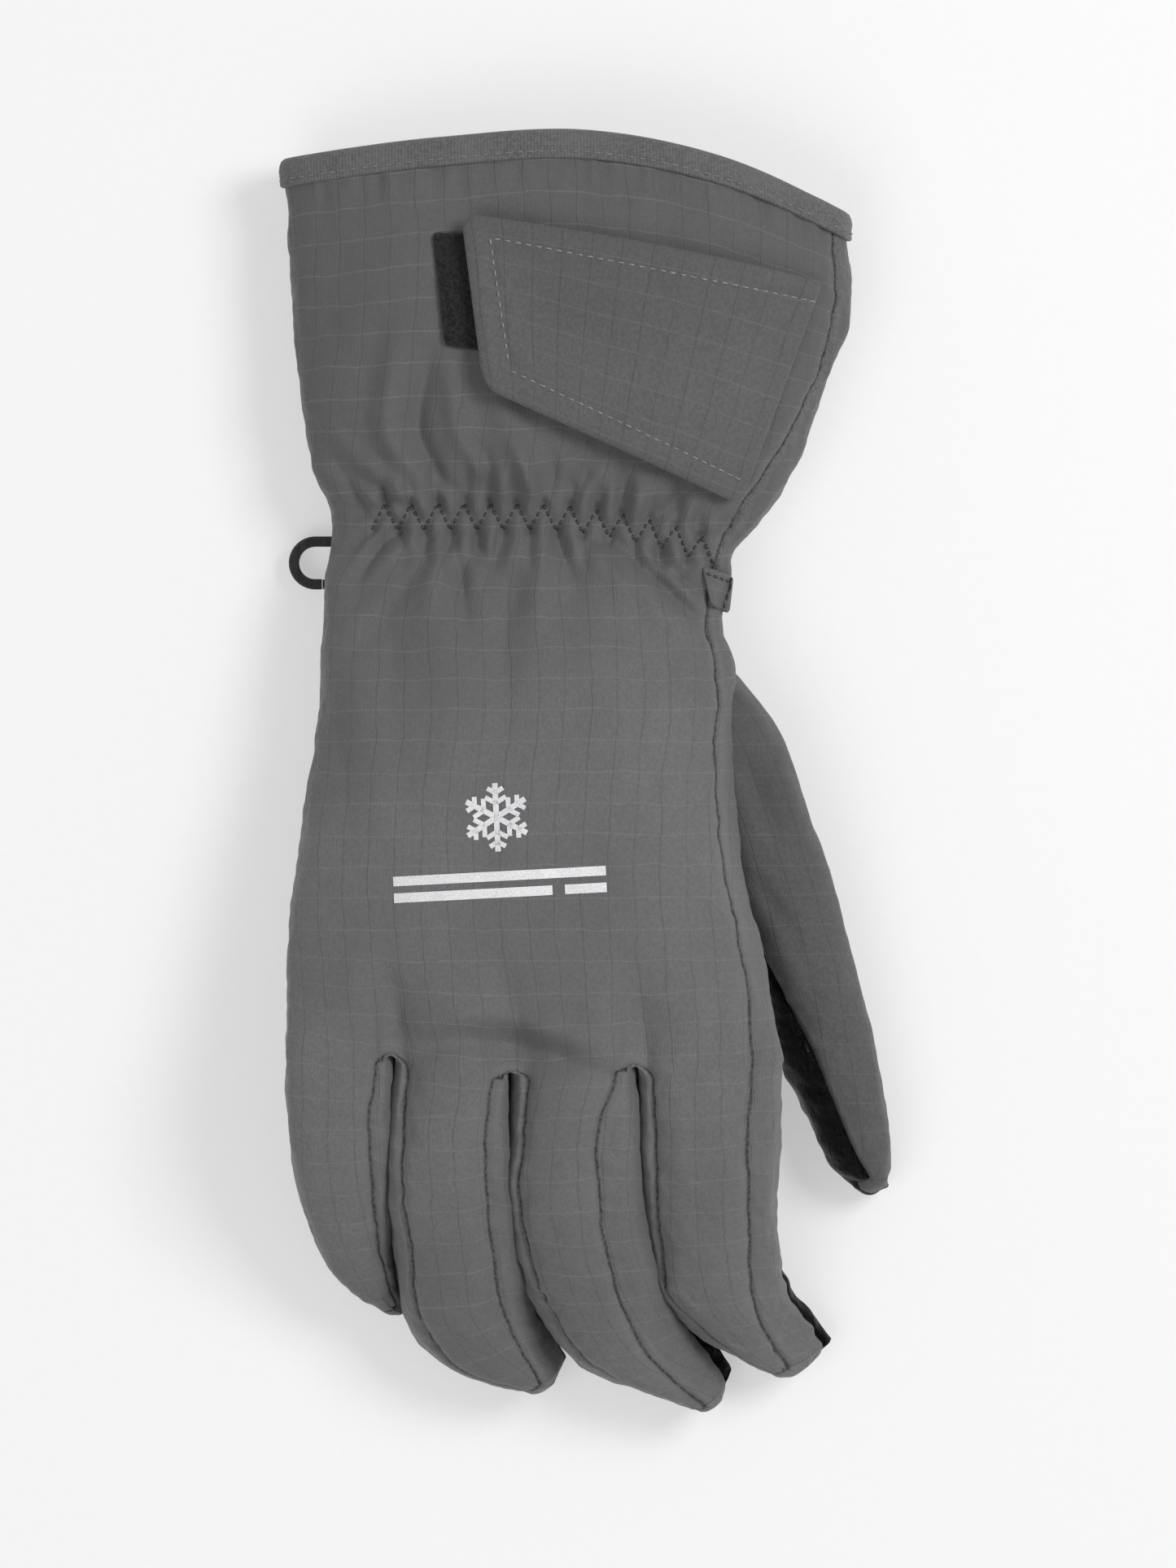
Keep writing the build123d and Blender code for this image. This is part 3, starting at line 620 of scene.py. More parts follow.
# ---------------------------------------------------------------- the form of the fingers
# Each station is the plan of a finger's upper left, upper right and lower right edges.
STATIONS = {
    "little": [[(-72.2, -62), (-50.2, -66.5), (-47.5, -67)], [(-72, -78), (-51.8, -79), (-47.8, -80)],
               [(-70.2, -94), (-51.8, -95), (-48.3, -96)], [(-66.2, -109), (-50.5, -109), (-47, -109)],
               [(-59.5, -121), (-47.6, -120), (-45.3, -119.5)],
               [(-49.5, -128.3), (-45, -126.8), (-43.6, -126)]],
    "ring": [[(-43.6, -67.5), (-22.5, -70.5), (-19.5, -71)], [(-44.9, -84), (-24, -84), (-19.4, -85)],
             [(-44.7, -100), (-24, -99), (-18.8, -99)], [(-43, -114), (-22.8, -113), (-16.8, -113)],
             [(-39.8, -131.5), (-19.8, -127.5), (-12.2, -126.5)],
             [(-29, -142.6), (-15.5, -137.5), (-7, -134.5)], [(-14.5, -148), (-10.3, -146), (-4.6, -139.5)]],
    "middle": [[(-15.2, -70.5), (8.2, -68.5), (10.4, -69)], [(-16, -85), (2.4, -84), (12.2, -84)],
               [(-17.2, -99), (2.9, -98), (12.9, -98)], [(-15, -112), (4.7, -113), (15.4, -112)],
               [(-9.8, -126), (8.8, -127), (19.5, -124.5)], [(0.5, -140), (14.5, -138), (27.5, -132)],
               [(15, -147.3), (22.5, -145.8), (34.2, -139)], [(27.5, -152), (29.3, -151.5), (35.5, -142.5)]],
    "index": [[(14.8, -70), (39.8, -67.5), (46.6, -67)], [(15.6, -85), (38.7, -84), (46.6, -84)],
              [(16.2, -99), (38.7, -98), (46, -98)], [(17.2, -111), (39, -110.5), (46.2, -109)],
              [(20.2, -124), (40.2, -123.5), (50, -122.5)], [(31.5, -135.3), (43.6, -133.3), (56, -129)],
              [(45.5, -143.8), (49.2, -142), (60.5, -135)]],
}
MIDDLE_HEIGHT = [(0, 35), (0.15, 34), (0.3, 31), (0.45, 26.5), (0.6, 20.5), (0.75, 15.5), (0.9, 12.5),
                 (1, 11)]
HALF_DEPTH = [(0, 10.5), (0.5, 10), (0.7, 9.3), (0.85, 8), (1, 5.5)]
CROWN = 3.0


def bulged(start, end, count, out, height):
    """A line between two points that swells out by height in the middle."""
    s = np.linspace(0, 1, count + 1)
    swell = np.clip(1 - np.abs(2 * s - 1) ** 2.6, 0, 1) ** 0.8
    return start + (end - start) * s[:, None] + out * (height * swell)[:, None]


def wall_line(start, end, open_out):
    """A side wall that runs out level from the back's edge and then turns down to the palm's edge."""
    t = np.linspace(0, 1, 50)
    turn = t * math.pi / 2
    across = (1 - open_out) * np.sin(turn) ** 0.4 + open_out * t
    down = (1 - open_out) * (1 - np.cos(turn)) ** 1.25 + open_out * t
    return along(start + (end - start) * np.stack([across, across, down], axis=1), SIDE)


def finger_grid(name, columns):
    """The rows of points round a finger from its root to its tip, and how far along it each row is."""
    rails = np.array(STATIONS[name], float)
    run = lengths(rails[:, 0] / 2 + rails[:, 1] / 2)
    t = np.linspace(0, run[-1], int(run[-1] / CELL) * DENSITY + 1)
    plan = smooth(list(zip(run, rails.reshape(len(rails), 6))), t).reshape(-1, 3, 2)
    share = t / run[-1]
    middle, half = smooth(MIDDLE_HEIGHT, share), smooth(HALF_DEPTH, share)
    tilt = 1.5 * ease(1, 0.75, share)
    # How much of the left wall shows, and how far a lower edge reaches out to the next finger.
    strips = (0.6 if name == "little" else 3.1) * (1 - 0.75 * ease(0.7, 1, share))
    meets = ease(0.9, 0.75, share)
    heading = np.gradient(np.column_stack([(plan[:, 0] + plan[:, 1]) / 2, middle]), axis=0)
    grid = []
    for (tl, tr, br), zc, h, lean, at, ahead, strip, meet in zip(
        plan, middle, half, tilt, share, heading, strips, meets
    ):
        left_top, right_top = np.array([*tl, zc + h - lean]), np.array([*tr, zc + h + lean])
        right = unit(right_top - left_top)
        out_right = meet if name != "index" else 0.0
        out_left = strip + (meet if name != "little" else 0.0)
        right_low = np.array([*(br + out_right * right[:2]), zc - 0.9 * h + 1])
        left_low = np.array([*(tl - out_left * right[:2]), zc - h])
        up = unit(np.cross(ahead, right))
        crown = CROWN * min(1.0, 0.35 + np.linalg.norm(right_top - left_top) / 30)
        top = bulged(left_top, right_top, columns, up, crown)
        wall = wall_line(right_top, right_low, 0.8 * float(ease(0.5, 0.85, at)))
        under = bulged(right_low, left_low, columns, -up, crown)
        inner = wall_line(left_top, left_low, 0.3)[::-1]
        grid.append(np.concatenate([top[:-1], wall[:-1], under[:-1], inner]))
    return np.array(grid), t


def sides_of(ring, columns):
    """A ring's back, right wall, palm and left wall. Backs and palms run to the right, and walls run down."""
    a, b, c = columns, columns + SIDE, 2 * columns + SIDE
    return ring[: a + 1], ring[a : b + 1], ring[b : c + 1][::-1], ring[c:][::-1]


finger_grids = [finger_grid(name, columns) for name, columns in zip(FINGERS, COLUMNS)]
roots = [sides_of(grid[0], columns) for (grid, _), columns in zip(finger_grids, COLUMNS)]

# The webs between fingers, and the row in which the fingers and webs meet the hand.
WEB_PEAK = [(-47.1, -64.2), (-18.4, -70.2), (11.4, -67.4)]
webs = []  # each has an upper and a lower line
for peak, here, beyond in zip(WEB_PEAK, roots, roots[1:]):
    pair = []
    for start, end, drop in ((here[0][-1], beyond[0][0], -2.2), (here[2][-1], beyond[2][0], 1.5)):
        middle = np.array([*peak, (start[2] + end[2]) / 2 + drop])
        t = np.linspace(0, 1, WEB + 1)[:, None]
        pair.append((1 - t) ** 2 * start + 2 * t * (1 - t) * middle + t**2 * end)
    webs.append(pair)


def last_row(side, line):
    """The hand's last row through one side of the fingers and one line of the webs, less its last point."""
    runs = [roots[0][side][:-1]]
    for web, beyond in zip(webs, roots[1:]):
        runs += [web[line][:-1], beyond[side][:-1]]
    return np.concatenate(runs)


palm_row = np.concatenate([last_row(2, 1), roots[3][2][-1:]])
root = np.concatenate([last_row(0, 0), roots[3][1][:-1], palm_row[::-1][:-1], roots[0][3][::-1]])
tube += ease(ROOT_Y + 34, ROOT_Y, row_y)[:, None, None] * (root - tube[-1])[None]

# ---------------------------------------------------------------- sewing the skin
TUBE_PARTS = {"gauntlet": ("back", "gusset", "palm", "palm"),
              "hand": ("back", "side_radial", "side_ulnar", "palm")}
FINGER_PARTS = ("back", "gusset", "palm")
PIECES = [f"gauntlet_{part}_skin" for part in FINGER_PARTS]
PIECES += [f"hand_{part}_skin" for part in TUBE_PARTS["hand"]] + ["finger_webs_skin"]
PIECES += [f"{name}_{part}_skin" for name in FINGERS for part in FINGER_PARTS]
NUMBER = {name: i for i, name in enumerate(PIECES)}
BACK_PANEL, THUMB_SIDE, LITTLE_SIDE, PALM_PANEL, FORKS = 0, 1, 2, 3, 10

skin = Cloth()
column_panel = bands((BACK, BACK_PANEL), (SIDE, THUMB_SIDE), (BACK, PALM_PANEL), (SIDE, LITTLE_SIDE))
on_gauntlet = (row_y[:-1] + row_y[1:]) / 2 > WRIST_Y
upper_pieces, lower_pieces = [
    np.array([NUMBER[f"{body}_{part}_skin"] for part in parts])[column_panel]
    for body, parts in TUBE_PARTS.items()
]
piece = np.where(on_gauntlet[:, None], upper_pieces, lower_pieces)
gather = 1 + 0.15 * near(row_y - WRIST_Y, 13)
middle_column = int(0.47 * BACK)
tube_weave = paired((stops - stops[:, [middle_column]]) * gather[:, None], row_y[:, None])
skin.grid(tube, tube_weave, piece, column_panel)

LEATHER_FROM = {"middle": 0.5, "index": 0.62}  # where along a finger the leather comes up its side
REACH_UP = int(0.24 * SIDE)
start_column = 0
for i, (name, (grid, run), columns) in enumerate(zip(FINGERS, finger_grids, COLUMNS)):
    back, wall, palm = [NUMBER[f"{name}_{part}_skin"] for part in FINGER_PARTS]
    steps = np.linalg.norm(np.diff(grid, axis=1), axis=2)
    around = np.concatenate([np.zeros((len(grid), 1)), np.cumsum(steps, axis=1)], axis=1)
    around += tube_weave[-1, start_column + columns // 2, 0] - around[:, [columns // 2]]
    left_fork = LITTLE_SIDE if i == 0 else FORKS + i - 1
    right_fork = THUMB_SIDE if i == 3 else FORKS + i
    grids = [
        np.repeat(bands((columns, a), (SIDE, b), (columns, c), (SIDE, d))[None], len(grid) - 1, axis=0)
        for a, b, c, d in ((back, wall, palm, wall), (BACK_PANEL, right_fork, PALM_PANEL, left_fork))
    ]
    caps = [np.full((SIDE, columns), number) for number in (wall, right_fork)]
    if name in LEATHER_FROM:
        from_row = int(LEATHER_FROM[name] * (len(grid) - 1))
        for numbers, cap_numbers, leather_number in zip(grids, caps, (palm, PALM_PANEL)):
            numbers[from_row:, columns + SIDE - REACH_UP : columns + SIDE] = leather_number
            cap_numbers[-REACH_UP:] = leather_number
    skin.grid(grid, paired(around, (ROOT_Y - run)[:, None]), *grids)

    cap = coons(*[sides_of(grid[-1], columns)[k] for k in (0, 2, 3, 1)])
    ahead = unit(grid[-1].mean(axis=0) - grid[-4].mean(axis=0))
    cap = cap + ahead * 2.2 * dome(SIDE + 1, columns + 1)[..., None] ** 0.7
    skin.grid(cap, cap[..., [0, 2]], *caps)
    start_column += columns + WEB

for i, (line_top, line_low) in enumerate(webs):
    web = coons(line_top, line_low, roots[i][1], roots[i + 1][3])
    web[..., 1] += 3.0 * dome(SIDE + 1, WEB + 1)
    skin.grid(web, web[..., [0, 2]], NUMBER["finger_webs_skin"], FORKS + i)

skin.sew()
skin.relax(5)
skin.relax(24, 0.5, [grid[-1].mean(axis=0) for grid, _ in finger_grids], 18.0)
skin.relax(8, 0.5, [line[len(line) // 2] for line, _ in webs], 5.0)

# ---------------------------------------------------------------- seams, folds and gathers
# Cloth is never cut and sewn quite evenly, so its seams wander a little.
wobble = sum(
    share * np.stack([cloud(skin.co, size, seed), cloud(skin.co, size, seed + 2)], axis=1)
    for share, size, seed in ((0.6, 8, 41.0), (0.24, 2.6, 45.0))
)
skin.co[:, :2] += np.where(skin.rim[:, None], 0, wobble)
finger_zone = np.full(len(skin.co), -1)
for i, name in enumerate(FINGERS):
    numbers = [NUMBER[f"{name}_{part}_skin"] for part in FINGER_PARTS]
    finger_zone[skin.faces[np.isin(skin.piece, numbers)].reshape(-1)] = i
on_finger = finger_zone >= 0
skin.find_seams(finger_zone)

facing = skin.normals()
plan, height = skin.co[:, :2], skin.co[:, 2]
upper = ease(-0.2, 0.5, facing[:, 2])
little_side = (finger_zone < 1) * ease(-0.25, -0.7, facing[:, 0])  # its seams are pressed flat
skin.seam += 5.0 * little_side
seam = skin.seam

# A seam pulls its two panels down, and they stand up again beside it with small puckers.
move = -0.75 * near(seam, 0.65) - 0.75 * near(seam, 3.2, 1)
move += 0.42 * cloud(skin.co, 3.2, 7.0) * near(seam - 1.6, 2.6)

# The elastic draws the wrist into pleats that fan out and fade on both sides.
ZIG_LINE = [(-52.4, 64.4), (-28, 64.5), (-5, 64.0), (10, 61.8), (20, 59.6), (31, 55.4)]
ZIG_START, ZIG_END, ZIG_PITCH, ZIG_HEIGHT = ZIG_LINE[0][0], ZIG_LINE[-1][0], 6.4, 6.6
away = plan[:, 1] - smooth(ZIG_LINE, plan[:, 0])
spread = 4.4 + 0.13 * np.abs(away)
pleats = cloud(np.stack([plan[:, 0] / spread, away / 26, height / 30], axis=1), 1, 3.0)
fade = near(away, np.where(away > 0, 26, 19), 1.3)
move += 2.6 * pleats * fade * (0.4 + 0.6 * ease(1, 6, np.abs(away))) * (0.15 + 0.85 * upper)
move -= 1.1 * near(away, 7.5)

# Between the points of the zigzag the cloth stands up in small puffs.
swing = plan[:, 0] + 0.3 * away * cloud(np.stack([plan[:, 0], 0 * away, 0 * away], axis=1), 13, 51.0)
turn = 2 * math.pi * (swing - ZIG_START - ZIG_PITCH / 2) / ZIG_PITCH
stitched = ease(ZIG_START - 4, ZIG_START + 2, plan[:, 0]) * ease(ZIG_END + 3, ZIG_END - 3, plan[:, 0])
puffs = 0.7 * near(np.maximum(-away - 2, 0), 5.0, 1) * ease(1, -3, away)
puffs -= 0.75 * near(np.maximum(away - 2, 0), 6.5, 1) * ease(-1, 3, away)
move += upper * stitched * puffs * np.cos(turn) * (0.75 + 0.5 * cloud(skin.co, (9, 30, 30), 53.0))

# Loose folds, each (line on the plan, width, height).
VALLEY_FOLDS = [
    ([(-38, 104), (-40.7, 83), (-34.6, 72.2), (-30.7, 67.6)], 2.4, -2.1),
    ([(-27.7, 84), (-23.9, 74.5), (-27.7, 69)], 1.9, -1.5),
    ([(-8.5, 78), (-8.5, 68.4)], 1.6, -1.2),
    ([(0, 77), (-2.4, 68.4)], 1.6, -1.2),
    ([(26, 72), (15.9, 63.8)], 2.0, -1.6),
    ([(-62, 78), (-57.5, 71.4), (-53.7, 64.5)], 2.0, -1.6),
    ([(-70, 106), (-56, 118), (-40, 125)], 5.5, -1.2),
    ([(-52.5, 61), (-58.3, 56), (-62, 53.8)], 1.6, -1.3),
    ([(-47.2, 62), (-53.7, 53), (-56, 48)], 1.7, -1.5),
    ([(-32.3, 60.7), (-30.7, 50.8), (-29.2, 38.5)], 1.9, -1.7),
    ([(-27.7, 60.7), (-23.9, 53)], 1.5, -1.2),
    ([(-20.8, 57), (-20, 49), (-20, 32)], 4.5, -1.6),
    ([(-7, 60.7), (-5.5, 54.6), (-3.2, 49)], 1.7, -1.3),
    ([(0, 60), (5.2, 57.7)], 1.4, -0.9),
    ([(4.8, 61.2), (12.9, 53.8), (20.5, 46.9), (29, 38)], 2.1, -2.6),
    ([(16, 56), (24.4, 49.5), (29.4, 44)], 1.5, -1.6),
    ([(-43, -65.5), (-37, -62.5), (-26, -61.5), (-11, -64.5), (9, -71)], 3.8, -3.2),
    ([(-66, 26), (-60, 10), (-58, -12)], 3.6, -0.9),
    ([(26, -38), (31, -52), (30, -64)], 3.4, -0.8),
    ([(-22, 40), (-19.5, 24), (-18, 4)], 6.0, -1.2),
    ([(14, 36), (22, 22), (24, 6)], 6.5, -0.9),
    ([(-50, 46), (-47, 30), (-49, 14)], 5.0, -0.9),
]
RIDGE_FOLDS = [
    ([(-46, 106), (-47.6, 83), (-43.7, 75.3), (-43, 68.4)], 3.0, 1.8),
    ([(-33, 99), (-32, 87), (-28.5, 77)], 2.4, 1.2),
    ([(-20, 84), (-13.9, 74.5), (-10, 69)], 2.4, 1.5),
    ([(2.9, 77), (0, 67.6)], 2.0, 1.2),
    ([(14, 72), (8, 64)], 2.2, 1.1),
    ([(-64, 112), (-50, 122), (-38, 130)], 6.0, 1.4),
    ([(-37, 58), (-37, 47), (-39, 38)], 2.8, 1.3),
    ([(-13, 58), (-12, 48), (-13, 36)], 3.0, 1.3),
    ([(10, 59.5), (15, 55), (21, 49), (27, 43)], 1.3, 0.8),
    ([(-1, 55), (9, 48), (18, 41), (26, 33)], 3.4, 1.3),
    ([(-42, -57), (-26, -55.5), (-10, -58.5), (9, -65.5)], 3.4, 1.4),
    ([(-60, 30), (-53, 12), (-52, -8)], 4.5, 0.8),
    ([(-34, 46), (-33, 28), (-34, 10)], 6.0, 1.0),
    ([(-4, 40), (2, 24), (4, 6)], 7.0, 1.1),
]
for line, width, size in VALLEY_FOLDS + RIDGE_FOLDS:
    by_wrist = 1.45 if abs(line[-1][1] - WRIST_Y) < 25 else 1.0
    sharp = 2.0 if size > 0 else 1.5
    move += upper * fold(plan, line, width * by_wrist**0.4, size * by_wrist, sharp)

# Each point of the zigzag pins the cloth, with a short fold running out from it.
teeth = np.arange(int((ZIG_END - ZIG_START) / (ZIG_PITCH / 2)) + 1)
zig_x = ZIG_START + teeth * ZIG_PITCH / 2
zig_side = np.where(teeth % 2, 1, -1)
zigzag = np.stack([zig_x, smooth(ZIG_LINE, zig_x) + ZIG_HEIGHT / 2 * zig_side], axis=1)
rng = np.random.default_rng(SEED)
for at, out in zip(zigzag[1:-1], zig_side[1:-1]):
    length, turn = rng.uniform(5, 11), rng.uniform(-0.35, 0.35)
    tip = at + out * length * np.array([math.sin(turn), math.cos(turn)])
    bend = at + 0.5 * (tip - at) + [rng.uniform(-0.6, 0.6), 0]
    move += upper * fold(plan, [at - [0, 1.5 * out], bend, tip], 1.3, -1.0, 1.6)
    move += upper * fold(plan, [at + [3.4, 0], tip + [3.0, 0]], 1.5, 0.7)
for run_of_stitches in zip(zigzag[:-1], zigzag[1:]):
    move -= upper * 0.85 * near(beside(plan, np.array(run_of_stitches))[0], 0.9)

# Puckers hang from the stitching of the cuff's binding, and the padding makes soft lumps everywhere.
below_mouth = MOUTH_Y + smooth(MOUTH_ARC, plan[:, 0]) - plan[:, 1]
comb = cloud(np.stack([plan[:, 0], below_mouth, height], axis=1), (3.0, 16, 40), 21.0)
move += 0.75 * comb * near(below_mouth - 7, 6.5)
move += 0.8 * cloud(skin.co, (17, 24, 17), 1.0) * ease(1.0, 9.0, seam)
move += 0.32 * cloud(skin.co, (6, 9, 6), 5.0) * ease(0.5, 4.0, seam)

# Fingers crease across where they bend, more on their sides and near their tips.
for i, name in enumerate(FINGERS):
    chosen = finger_zone == i
    rails = np.array(STATIONS[name], float)
    path = (rails[:, 0] + rails[:, 1]) / 2
    _, at = beside(plan[chosen], path)
    wave = cloud(np.stack([at, plan[chosen][:, 0], height[chosen]], axis=1), (3.4, 24, 18), 31.0 + i)
    finger_end = lengths(path)[-1]
    strength = 0.35 + 0.45 * ease(0.55 * finger_end, 0.9 * finger_end, at)
    move[chosen] += strength * wave * (0.4 + 0.6 * near(seam[chosen], 4, 1))

# The palm is smoother than the back. The cloth lies close at the mouth, at the tips and between the fingers.
move *= 1 - 0.45 * ease(0.2, -0.5, facing[:, 2])
move *= ease(0.5, 6.5, below_mouth)
sideways = np.abs(facing[:, 0])
move = np.where(on_finger & (facing[:, 1] < -0.55), 0.35 * move, move)
move = np.where(on_finger & (sideways > 0.75) & (height > 12), np.minimum(move, 0.1), move)
between_fingers = on_finger & (facing[:, 2] < 0.15) & (sideways > 0.3) & (np.abs(plan[:, 0] + 11) < 55)
move = np.where(between_fingers, np.clip(move, -0.25, 0.1), move)
move = np.where(skin.rim, 0, move)
skin.co = skin.co + facing * np.clip(move, -4.2, 3.8)[:, None]
skin.relax(1, 0.35)
skin.co[:, 2] = np.maximum(skin.co[:, 2], 0.25)
skin.facing = skin.normals()
surface = Surface(skin.co, skin.faces)

# ---------------------------------------------------------------- cutting the skin into its pieces
INSIDE = {"gauntlet_palm": ["wrist_elastic"], "hand_back": ["hand_padding"]}
for body, parts in TUBE_PARTS.items():
    for part in dict.fromkeys(parts):
        node = f"{body}_{part}"
        slot = "palm_leather" if node == "hand_palm" else "ripstop"
        stands_for = [node, *INSIDE.get(node, [])]
        obj = cut(skin, NUMBER[f"{node}_skin"], f"{node}_skin", slot, "wrist", stands_for)
cut(skin, NUMBER["finger_webs_skin"], "finger_webs_skin", "ripstop", "hand", ["finger_forks"])
for name in FINGERS:
    for part in FINGER_PARTS:
        node = f"{name}_{part}"
        slot = "palm_leather" if part == "palm" else "ripstop"
        stands_for = [node] + ([f"{name}_padding", f"{name}_lining"] if part == "back" else [])
        obj = cut(skin, NUMBER[f"{node}_skin"], f"{node}_skin", slot, None, stands_for)
        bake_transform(obj)

# ---------------------------------------------------------------- thumb
# Each station is the plan of the thumb's left and right edges, the height of its middle and half its depth.
THUMB_STATIONS = [
    (14, 33, 30.5, 32, 17.5, 8.5), (21, 17, 43.4, 18, 16.8, 12.0), (28.5, -7, 53.7, -7, 16, 12.8),
    (35, -30, 61, -29, 14.2, 12.6), (41, -47, 66, -48, 12.4, 11.8), (45.6, -65, 69.7, -65, 11.4, 11),
    (54, -82.5, 73, -82, 10.8, 10.4), (59.6, -93, 74, -91.5, 10, 9.3), (64.3, -98, 73.6, -96.2, 8.4, 6.8),
]
# Where the leather's seam lies, as (station, share of the width from the left edge).
THUMB_SEAM = [(0, 0.05), (3, 0.07), (4, 0.13), (5, 0.35), (6, 0.38), (8, 0.5)]
THUMB_COLUMNS = 34 * DENSITY  # of ripstop, and as many of leather
THUMB_BACK, THUMB_PALM = 0, 1

stations = np.array(THUMB_STATIONS, float)
thumb_run = lengths((stations[:, :2] + stations[:, 2:4]) / 2)
at = np.linspace(0, thumb_run[-1], int(thumb_run[-1] / CELL) * DENSITY + 1)
seam_share = smooth(THUMB_SEAM, np.interp(at, thumb_run, np.arange(len(stations))))
across, rise = oval(np.linspace(math.pi, -math.pi, ROUND // 2 + 1), 2 / 2.25, 2 / 2.25)
thumb_grid, thumb_weave = [], []
for (lx, ly, rx, ry, z, depth), share, run in zip(smooth(list(zip(thumb_run, stations)), at), seam_share, at):
    left, right = np.array([lx, ly, z]), np.array([rx, ry, z])
    line = (left + right) / 2 + across[:, None] * (right - left) / 2 + rise[:, None] * np.array([0, 0, depth])
    arc = lengths(line)
    half = ROUND // 4
    start = np.interp(2 * share - 1, across[: half + 1], arc[: half + 1])
    under = arc[half] + 0.12 * (arc[-1] - arc[half])
    spots = np.concatenate([np.linspace(start, under, THUMB_COLUMNS + 1)[:-1],
                            np.linspace(under, start + arc[-1], THUMB_COLUMNS + 1)])
    ring = pick(np.mod(spots, arc[-1]), arc, line)
    ring[-1] = ring[0]
    thumb_grid.append(ring)
    thumb_weave.append(paired(spots - under, -run))
thumb_grid, thumb_weave = np.array(thumb_grid), np.array(thumb_weave)

thumb = Cloth()
thumb_panel = bands((THUMB_COLUMNS, THUMB_BACK), (THUMB_COLUMNS, THUMB_PALM))
thumb.grid(thumb_grid, thumb_weave, thumb_panel, thumb_panel)
ring = thumb_grid[-1]
quarter = THUMB_COLUMNS // 2
cap = coons(ring[: quarter + 1], ring[2 * quarter : 3 * quarter + 1][::-1], ring[3 * quarter :][::-1],
            ring[quarter : 2 * quarter + 1])
ahead = unit(ring.mean(axis=0) - thumb_grid[-5].mean(axis=0))
cap = cap + ahead * 3.2 * dome(quarter + 1, quarter + 1)[..., None] ** 0.6
cap_panel = np.where(np.arange(quarter)[:, None] < quarter // 2, THUMB_BACK, THUMB_PALM)
thumb.grid(cap, cap[..., [0, 2]], cap_panel, cap_panel)
thumb.sew()
thumb.relax(4)
thumb.relax(20, 0.5, [ring.mean(axis=0)], 15.0)
thumb.find_seams(np.zeros(len(thumb.co)))
facing = thumb.normals()
is_leather = np.zeros(len(thumb.co), bool)
is_leather[thumb.faces[thumb.piece == THUMB_PALM].reshape(-1)] = True
x, y, z = thumb.co.T
move = -0.9 * near(thumb.seam, 0.8) - 0.5 * near(thumb.seam, 3, 1)
move += 0.5 * cloud(thumb.co, 3.0, 9.0) * near(thumb.seam - 1.6, 2.4)
move += 0.8 * cloud(thumb.co, (15, 22, 15), 2.0) + 0.3 * cloud(thumb.co, (5, 7, 5), 4.0)
move += np.where(is_leather, 0.75, 0.15) * cloud(np.stack([x, y + 0.5 * x, z], axis=1), (9, 2.7, 9), 6.0)
for line, width, size in (
    ([(36, 8), (42, -4), (46, -14)], 2.6, -1.2), ([(41, 12), (46, 2), (50, -9)], 3.2, 0.9),
    ([(40, -22), (45, -30), (50, -36)], 2.4, -0.9), ([(44, -36), (50, -46), (53, -54)], 3.0, 0.8),
):
    move += ease(-0.2, 0.5, facing[:, 2]) * fold(thumb.co[:, :2], line, width, size)
thumb.co = thumb.co + facing * np.clip(move, -2.2, 2.2)[:, None]
thumb.co[:, 2] = np.maximum(thumb.co[:, 2], 0.25)
thumb.relax(1, 0.3)
thumb.facing = thumb.normals()
for number, part, material, slot, inside in (
    (THUMB_BACK, "back", "thumb", "ripstop",
     ["thumb_padding", "thumb_lining", "thumb_saddle", "thumb_saddle_padding"]),
    (THUMB_PALM, "palm", "palm_leather", "palm_leather", []),
):
    obj = cut(thumb, number, f"thumb_{part}_skin", material, None, [f"thumb_{part}", *inside])
    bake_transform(obj)

# ---------------------------------------------------------------- cuff binding and lining
row_step = (MOUTH_Y - ROOT_Y) / rows


def offset_ring(row, out):
    """A row of the tube moved out from the middle of its own section."""
    ring = tube[row]
    ahead = np.roll(ring[:-1], -1, axis=0) - np.roll(ring[:-1], 1, axis=0)
    side = unit(np.cross(ahead, [0, 1, 0]))
    return ring + np.concatenate([side, side[:1]]) * out


def at_depth(depth, out):
    """The ring this far below the cuff's mouth, moved out by out. Above the mouth depth is negative."""
    row = max(depth, 0) / row_step
    low = int(row)
    ring = offset_ring(low, out) + (row - low) * (offset_ring(low + 1, out) - offset_ring(low, out))
    ring[:, 1] -= min(depth, 0)
    return ring


BAND = 6.0  # how far the binding comes down outside and inside
profile = [(BAND, 0.05), (BAND, 0.75), (BAND - 0.3, 1.15), (BAND - 0.9, 1.25), (BAND - 1.6, 1.15),
           (3.4, 1.35), (2.0, 1.5), (0.8, 1.35), (-0.3, 0.95), (-0.9, 0.2), (-1.1, -0.7), (-0.9, -1.6),
           (-0.3, -2.3), (0.8, -2.7), (2.4, -2.8), (BAND - 1.6, -2.6), (BAND - 0.4, -2.7), (BAND, -2.2)]
binding = np.array([at_depth(depth, out)[:-1] for depth, out in profile])
outward = at_depth(2.0, 1.0)[:-1] - at_depth(2.0, 0.0)[:-1]
binding = binding + 0.28 * cloud_on(binding, (7, 4, 7), 13.0)[..., None] * outward
run = lengths(np.concatenate([binding[0], binding[0][:1]]))[:-1]
weave = paired(run, np.array([[-depth] for depth, _ in profile]))
faces = grid_faces(*binding.shape[:2], closed=True, flip=True)
obj = new_mesh("cuff_binding_skin", binding.reshape(-1, 3), faces, MATERIALS["binding"], weave)
dress(obj, "gauntlet", ["cuff_binding"])

